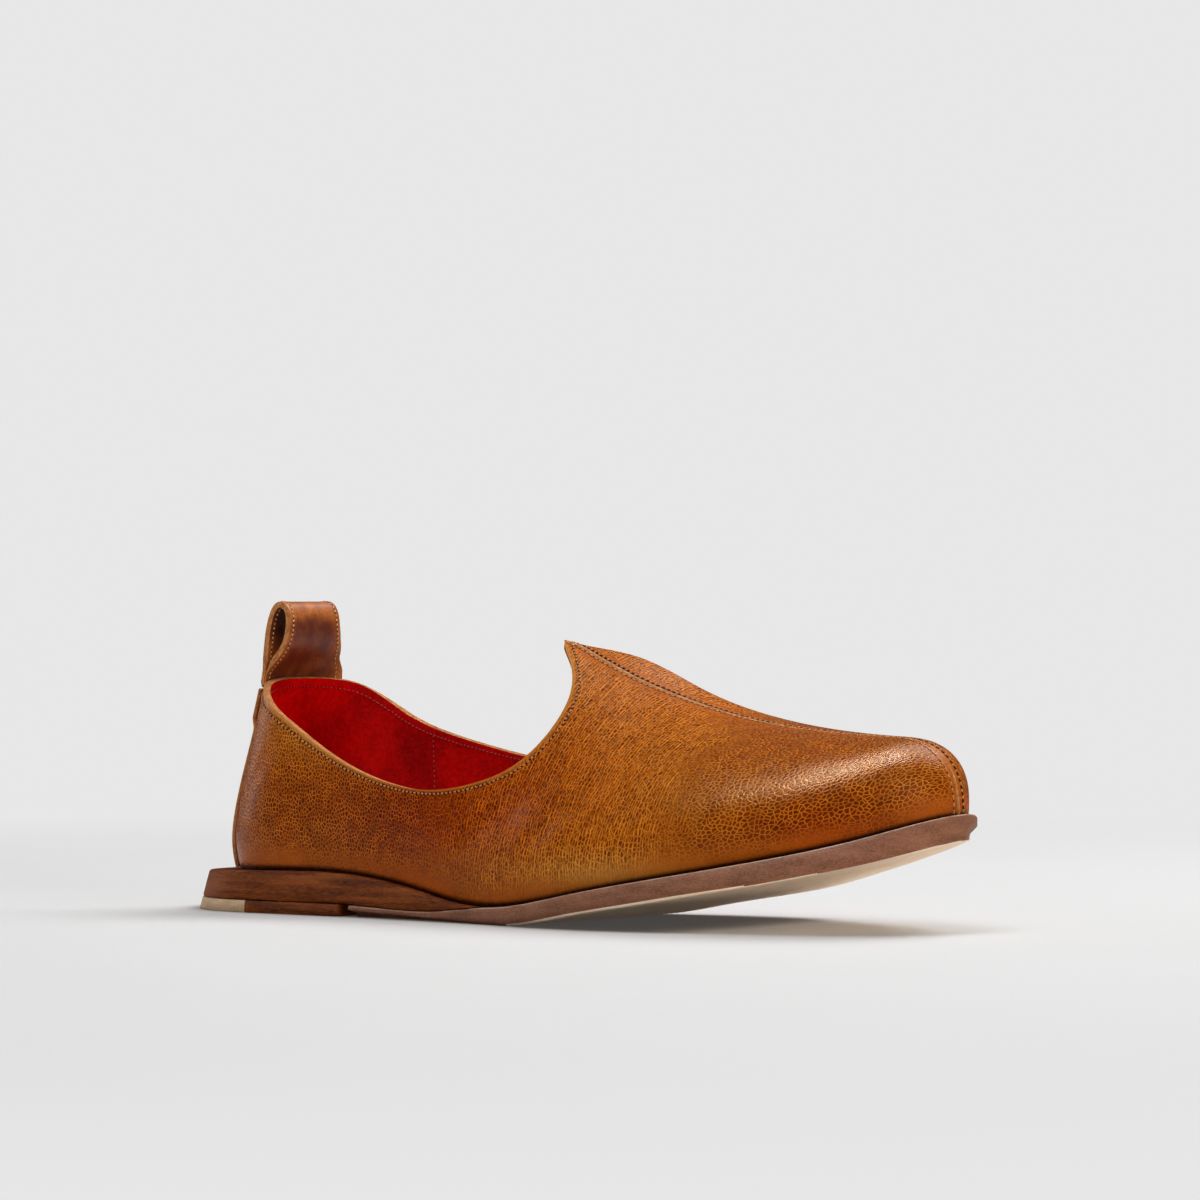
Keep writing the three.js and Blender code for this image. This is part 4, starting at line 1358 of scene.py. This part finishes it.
    def bent(self, x: Array, y: Array, z: Array) -> Array:
        """Bends the strap round the heel, less so higher up.

        Args:
            x: Side-view places.
            y: Shares of the strap's half-width, -1 to 1.
            z: Heights.

        Returns:
            Points of the strap.
        """
        rise = z - self.join_z
        outer = mix(self.outer, self.top_half, ease(rise / (self.top_z - self.join_z)))
        taper, wider = self.inner_taper
        inner = mix(self.inner, self.top_half + wider, ease(rise / taper))
        side = y * np.where(y < 0, outer, inner)
        height = np.minimum(z, self.join_z)
        wrap = self.last.heel_back(side, height, np.zeros_like(side))[..., 0] - self.last.heel_x(height)
        released = [(rise + below) / height for below, height in (self.outer_release, self.inner_release)]
        loose = np.clip(np.where(y < 0, *released), 0, 1) * ease((z - self.strip_top_z) / self.release_height)
        grip = mix(1.0, self.grip_left, loose)
        turned = self.twist * ease(rise / self.twist_height) * (side + outer)
        return np.stack([x + wrap * grip - turned, side, z], -1)

    def build_loop(self) -> None:
        """Makes the strap as a band swept along its side view, with two sewn rows on either face."""
        line = Path(self.outline())
        share = np.linspace(0, 1, 121)
        face = line(share)
        ahead = line(share + 0.004) - line(share - 0.004)
        ahead /= np.linalg.norm(ahead, axis=-1, keepdims=True)
        inwards = np.stack([ahead[:, 1], -ahead[:, 0]], -1)
        thick = mix(self.tail, self.strap, ease((face[:, 1] - self.join_z) / self.thicken_height))
        back = share < share[face[:, 1].argmax()]
        stepped = ease((face[:, 1] - self.strip_top_z - self.step[0]) / self.step[1])
        clear = mix(self.tail, self.back_leg - self.tail, stepped)
        thick = np.where(back, np.maximum(thick, clear), thick)
        across = np.concatenate([np.linspace(-1, 1, 15), np.linspace(1, -1, 15), [-1.0]])
        depth = np.concatenate([np.zeros(15), np.ones(15), [0.0]])
        place = face[:, None] + inwards[:, None] * (thick[:, None] * depth[None])[..., None]
        points = self.bent(place[..., 0], np.broadcast_to(across, place.shape[:2]), place[..., 1])
        front = ~back[:, None] & (depth == 0)[None]
        height, (dark_front_top_z, dark_front_fade), (dark_z, dark_fade) = place[..., 1], self.toned_and_painted_light, self.darkened
        # darker front below its lit top (partly the strap's darker colour, partly painted shade) and painted
        # shade inside the loop near the top
        worn = front * ease((dark_front_top_z - height) / dark_front_fade) * (1 - np.abs(across) ** 5)[None]
        worn = worn + (depth == 1)[None] * ease((height - dark_z) / dark_fade)
        bm = shaped_grid(points, {"across": np.broadcast_to(across, place.shape[:2]), "tone_and_painted_shade": worn})
        close_ends(bm)
        key = bm.verts.layers.float["across"]
        for leather_face in bm.faces:
            leather_face.material_index = int(all(abs(vert[key]) > 0.99 for vert in leather_face.verts))
        self.last.settle(bm)
        f = self.finishes
        loop = new_piece("pull_loop_strap", bm, [f.strap, f.raw_edge], "pull_loop")
        break_edges(loop, self.loop_edge)
        bm = bmesh.new()
        sewn = face[:, 1] > self.strip_top_z + self.sewing_ends[0]
        for side in Side:
            for inside in (0.0, 1.0):
                on = (face + inwards * (thick * inside)[:, None])[sewn]
                off = on + inwards[sewn] * (2 * inside - 1)
                y = np.full(sewn.sum(), side.value * (1 - self.sewing_inset / self.outer))
                rows, lifted = (self.bent(at[:, 0], y, at[:, 1]) for at in (on, off))
                places, run = Path(rows).paced(self.sewing.pitch, self.sewing_ends[1])
                near = np.array([np.argmin(np.linalg.norm(rows - p, axis=-1)) for p in places])
                out = (lifted - rows)[near]
                self.sewing.sew(bm, places, run, out / np.linalg.norm(out, axis=-1, keepdims=True))
        self.last.settle(bm)
        new_piece("loop_rows", bm, [f.cream_thread, f.hole])


@dataclass
class Bottom:
    """Insole, outsole, stacked wedge, heel lift and the heel tip that takes the wearing."""

    last: Last
    finishes: Finishes
    end: float = 0.05
    edge: float = 0.7
    feather_edge: float = 0.2
    insole: float = 2.6
    insole_clear: float = 0.6
    # how far in and up the insole's lower edge is broken
    insole_foot: tuple[float, float] = (0.3, 0.4)
    tip_outer_x: float = 40.0
    tip_inner_x: float = 22.0
    tip_span: float = 76.0
    tip_edge: float = 0.25
    # x up to which the pale underside keeps its wide border, and where the dark toe tip begins
    border_x: float = 240.0
    toe_tip_x: float = 288.0
    # rows of faces from the bottom up: pale ones on each stretch, then those below the arris and the ledge;
    # the arris faces take a painted highlight and the ledge faces a painted shade
    pale_rows: tuple[int, ...] = (3, 5, 4, 3, 1)
    edge_rows: tuple[int, int] = (9, 11)

    def build(self) -> None:
        """Makes every piece of the bottom."""
        self.build_outsole()
        self.build_wedge()
        self.build_lift()
        self.build_insole()

    def build_outsole(self) -> None:
        """Makes the outsole with its pared waist and pale underside."""
        last = self.last
        x = stations(last.outsole_start_x, last.outsole_end_x, 110, round_back=False)
        top = last.outsole_top(x)
        pared_in, pared_up = last.pared(x)
        under = [last.under(side, x) for side in Side]
        low = [np.minimum(edge + pared_up, top - self.edge) for edge in under]

        def ring(starts: list[Array], ends: list[Array], share: float, inset: Array) -> Array:
            """A ring part of the way up from one pair of edges to another."""
            outer, inner = [mix(start, end, share) for start, end in zip(starts, ends)]
            return last.sole_ring(x, outer, inset, inner)

        none = np.zeros_like(x)
        rings = [ring(under, low, s, pared_in * math.sqrt(1 - s * s)) for s in (0.0, 0.25, 0.6, 1.0)]
        rings += [ring(low, [top - self.edge / 2] * 2, s, none) for s in (0.35, 0.7, 1.0)]
        rings.append(last.sole_ring(x, top - self.edge / 8, none + self.edge * 0.4))
        rings.append(last.sole_ring(x, top, none + self.edge))
        bm = slab(rings)
        row = bm.verts.layers.float["row"]
        pale_ends = (last.roll_x, self.border_x, last.toe_pare[0], self.toe_tip_x)
        for face in bm.faces:
            low_row = min(vert[row] for vert in face.verts)
            at = np.searchsorted(pale_ends, face.calc_center_median().x)
            ends = (self.pale_rows[at], *self.edge_rows)
            face.material_index = (1, 0, 2, 3)[np.searchsorted(ends, low_row, side="right")]
        last.settle(bm)
        f = self.finishes
        # the outsole's top ledge takes a painted shade and its arris a painted highlight
        finishes = [f.sole_edge, f.sole_under, f.sole_arris_highlight, f.ledge_shade]
        new_piece("outsole_leather", bm, finishes, "outsole")

    def build_wedge(self) -> None:
        """Makes the stacked wedge under the heel and waist."""
        last = self.last
        back = float(last.flare(0.0) * last.feather(0.0))
        x = stations(back + self.end, last.wedge_end_x, 90, round_back=True)
        bottom = np.where(x < last.outsole_start_x, last.lift, last.outsole_top(x)) + last.gap
        top = np.maximum(last.feather(x) - last.gap, bottom + self.feather_edge)
        edge = np.minimum(self.edge, (top - bottom) / 4)
        none = np.zeros_like(x)
        rings = [last.sole_ring(x, bottom, edge * 0.5), last.sole_ring(x, bottom + edge * 0.5, none)]
        rings += [last.sole_ring(x, mix(bottom + edge * 0.5, top - edge, s), none) for s in (0.33, 0.66, 1.0)]
        rings += [last.sole_ring(x, top - edge * 0.3, edge * 0.3), last.sole_ring(x, top, edge)]
        bm = slab(rings)
        last.settle(bm)
        new_piece("heel_wedge_stack", bm, [self.finishes.stack], "heel_wedge")

    def build_lift(self) -> None:
        """Makes the heel's bottom lift and cuts the heel tip out of its back outer corner."""
        last = self.last
        across = Vector((self.tip_span, self.tip_outer_x - self.tip_inner_x, 0)).normalized()
        cut = Vector(((self.tip_outer_x + self.tip_inner_x) / 2, 0, 0))
        for name, node, slot, finish, keep_back in (
            ("wear_tip", "heel_tip", Slot.TIP, self.finishes.tip, True),
            ("heel_lift_leather", "heel_lift", Slot.STACK, self.finishes.stack, False),
        ):
            x = stations(self.end, last.breast_x, 70, round_back=True)
            none = np.zeros_like(x)
            bevel, top = self.edge / 2, self.edge / 3
            levels = ((0, bevel), (bevel, 0), (last.lift - top, 0), (last.lift, top))
            bm = slab([last.sole_ring(x, none + z, none + inset) for z, inset in levels])
            place = cut if keep_back else cut + Vector((last.gap, 0, 0))
            bmesh.ops.bisect_plane(
                bm, geom=[*bm.verts, *bm.edges, *bm.faces], dist=1e-4, plane_co=place, plane_no=across,
                clear_outer=keep_back, clear_inner=not keep_back,
            )
            bmesh.ops.holes_fill(bm, edges=bm.edges, sides=0)
            last.settle(bm)
            piece = new_piece(name, bm, [finish], node)
            break_edges(piece, self.tip_edge, angle=55)

    def build_insole(self) -> None:
        """Makes the red sock that covers the inside of the sole."""
        last = self.last
        points = last.wall_points(90, 24)
        inside = points - outward(points) * last.wall
        low = inside[1:-1, 0]
        low = np.delete(low, len(low) // 2, axis=0)
        low[:, 2] = last.feather(low[:, 0])
        heading = np.gradient(low, axis=0)
        heading[:, 2] = 0
        heading /= np.linalg.norm(heading, axis=-1, keepdims=True)
        inward = np.stack([-heading[:, 1], heading[:, 0], np.zeros(len(low))], -1)

        def ring(rise: float, inset: float) -> Array:
            """One ring of the sock."""
            return low + inward * (self.insole_clear + inset) + np.array([0, 0, rise])

        foot_in, foot_up = self.insole_foot
        levels = ((0, foot_in), (foot_up, 0), (self.insole - self.edge, 0), (self.insole, self.edge))
        bm = slab([ring(rise, inset) for rise, inset in levels])
        last.settle(bm)
        new_piece("insole_sock", bm, [self.finishes.lining], "insole")


@dataclass(frozen=True)
class Lamp:
    """One rectangular light, in metres; one that doesn't light is seen in gloss alone."""

    name: str
    place: tuple[float, float, float]
    size: tuple[float, float]
    power: float
    roll: float = 0.0
    lights: bool = True

    def hang(self, target: Vector) -> None:
        """Adds the light to the scene, aimed at a target."""
        light = bpy.data.lights.new(self.name, "AREA")
        light.shape, light.energy = "RECTANGLE", self.power
        light.size, light.size_y = self.size
        lamp = bpy.data.objects.new(self.name, light)
        lamp.location = self.place
        aim = (target - Vector(self.place)).to_track_quat("-Z", "Y")
        lamp.rotation_euler = (aim @ Quaternion((0, 0, 1), math.radians(self.roll))).to_euler()
        lamp.visible_camera, lamp.visible_diffuse = False, self.lights
        bpy.context.scene.collection.objects.link(lamp)


@dataclass
class Studio:
    """Pale floor, soft light and the camera of the photograph."""

    last: Last
    camera_place: tuple[float, float, float] = (1237.14, -1410.54, 102.14)
    camera_turn: float = math.radians(37.5)
    camera_pitch: float = math.radians(0.02)
    lens: float = 168.0
    sensor: float = 36.0
    floor_size: float = 6.0
    # distances from the shoe between which the floor fades into the backdrop, and its share there
    fade: Ramp = (0.25, 0.9, 0.06, 1.0)
    floor_tones: tuple[Colour, Colour] = (srgb(220, 220, 220), srgb(223, 223, 223))
    # colour of the painted shadow close under the shoe, and how far the ambient occlusion reaches
    painted_floor_shadow: Colour = srgb(104, 92, 84)
    painted_shadow_reach: float = 0.012
    backdrop: Colour = srgb(231, 231, 231)
    ambient: float = 0.1
    glow: float = 0.12
    aim_z: float = 0.03
    lamps: tuple[Lamp, ...] = (
        Lamp("softbox", (0.03, -0.38, 1.35), (0.6, 1.1), 9.0),
        Lamp("sheen", (0.1, -0.3, 1.3), (0.24, 1.6), 112.0, roll=-29, lights=False),
        Lamp("back", (0.2, 1.0, 1.4), (1.0, 1.0), 22.0),
        Lamp("right", (1.4, -0.4, 0.3), (0.8, 0.8), 7.0),
        Lamp("left", (-1.4, -0.1, 0.35), (0.7, 0.6), 3.0),
    )

    def build(self) -> None:
        """Makes the floor, lights, background and camera."""
        self.build_floor()
        self.build_light()
        self.build_camera()

    def build_floor(self) -> None:
        """Lays the floor, which takes on the background's tone away from the shoe; close under the shoe its
        colour is darkened by ambient occlusion as a painted shadow.
        """
        bm = bmesh.new()
        bmesh.ops.create_grid(bm, x_segments=8, y_segments=8, size=self.floor_size)
        mesh = bpy.data.meshes.new("floor")
        bm.to_mesh(mesh)
        bm.free()
        floor = bpy.data.objects.new("floor", mesh)
        bpy.context.scene.collection.objects.link(floor)
        material, sheet, shader = new_material("studio_floor", Specular_IOR_Level=0.1)
        place = sheet.put("ShaderNodeTexCoord").outputs["Object"]
        shade = sheet.noise(place, 10.0, 2.0).outputs["Fac"]
        # painted shadow: ambient occlusion darkens the floor's colour close under the shoe
        under = sheet.put("ShaderNodeAmbientOcclusion", {"Distance": self.painted_shadow_reach}, samples=8)
        open_share = sheet.ramp(under.outputs["AO"], 0.4, 1.0)
        tone = sheet.tint(open_share, self.painted_floor_shadow, sheet.tint(shade, *self.floor_tones))
        sheet.feed(shader, Base_Color=tone, Roughness=sheet.ramp(shade, 0.0, 1.0, 0.75, 0.8))
        away = sheet.put("ShaderNodeVectorMath", {0: place}, operation="LENGTH").outputs["Value"]
        mirrored = sheet.put("ShaderNodeLightPath").outputs["Is Glossy Ray"]
        strength = sheet.blend(mirrored, 1.0, self.glow)
        glow = sheet.put("ShaderNodeEmission", {"Color": self.backdrop, "Strength": strength})
        far = sheet.ramp(away, *self.fade)
        fade = sheet.put("ShaderNodeMixShader", {0: far, 1: shader.outputs[0], 2: glow.outputs[0]})
        surface = next(n for n in material.node_tree.nodes if n.type == "OUTPUT_MATERIAL")
        sheet.tree.links.new(fade.outputs[0], surface.inputs["Surface"])
        mesh.materials.append(material)

    def build_light(self) -> None:
        """Hangs the soft lights and sets the background, which is brighter to the eye than as a light."""
        world = bpy.data.worlds.new("studio")
        world.use_nodes = True
        sheet = NodeSheet(world.node_tree)
        back = world.node_tree.nodes["Background"]
        back.inputs["Color"].default_value = self.backdrop
        seen = sheet.put("ShaderNodeLightPath").outputs["Is Camera Ray"]
        sheet.tree.links.new(sheet.blend(seen, self.ambient, 1.0), back.inputs["Strength"])
        bpy.context.scene.world = world
        for lamp in self.lamps:
            lamp.hang(Vector((0, 0, self.aim_z)))

    def build_camera(self) -> None:
        """Sets up the camera of the photograph."""
        data = bpy.data.cameras.new("photo_camera")
        data.lens, data.sensor_width = self.lens, self.sensor
        data.clip_end = 20.0
        camera = bpy.data.objects.new("photo_camera", data)
        camera.location = Vector(self.camera_place) * MM + self.last.shift
        turn, pitch = self.camera_turn, self.camera_pitch
        level = math.cos(pitch)
        back = Vector((math.sin(turn) * level, -math.cos(turn) * level, math.sin(pitch)))
        camera.rotation_euler = (-back).to_track_quat("-Z", "Y").to_euler()
        bpy.context.scene.collection.objects.link(camera)
        bpy.context.scene.camera = camera
        bpy.context.scene.view_settings.view_transform = "Standard"


def main() -> None:
    """Builds the shoe piece by piece."""
    logging.basicConfig(level=logging.INFO, format="%(name)s: %(message)s")
    last = Last()
    finishes = Finishes(Effects())
    Studio(last).build()
    Bottom(last, finishes).build()
    Upper(last, finishes).build()
    BackStrap(last, finishes).build()


if __name__ == "__main__":
    main()
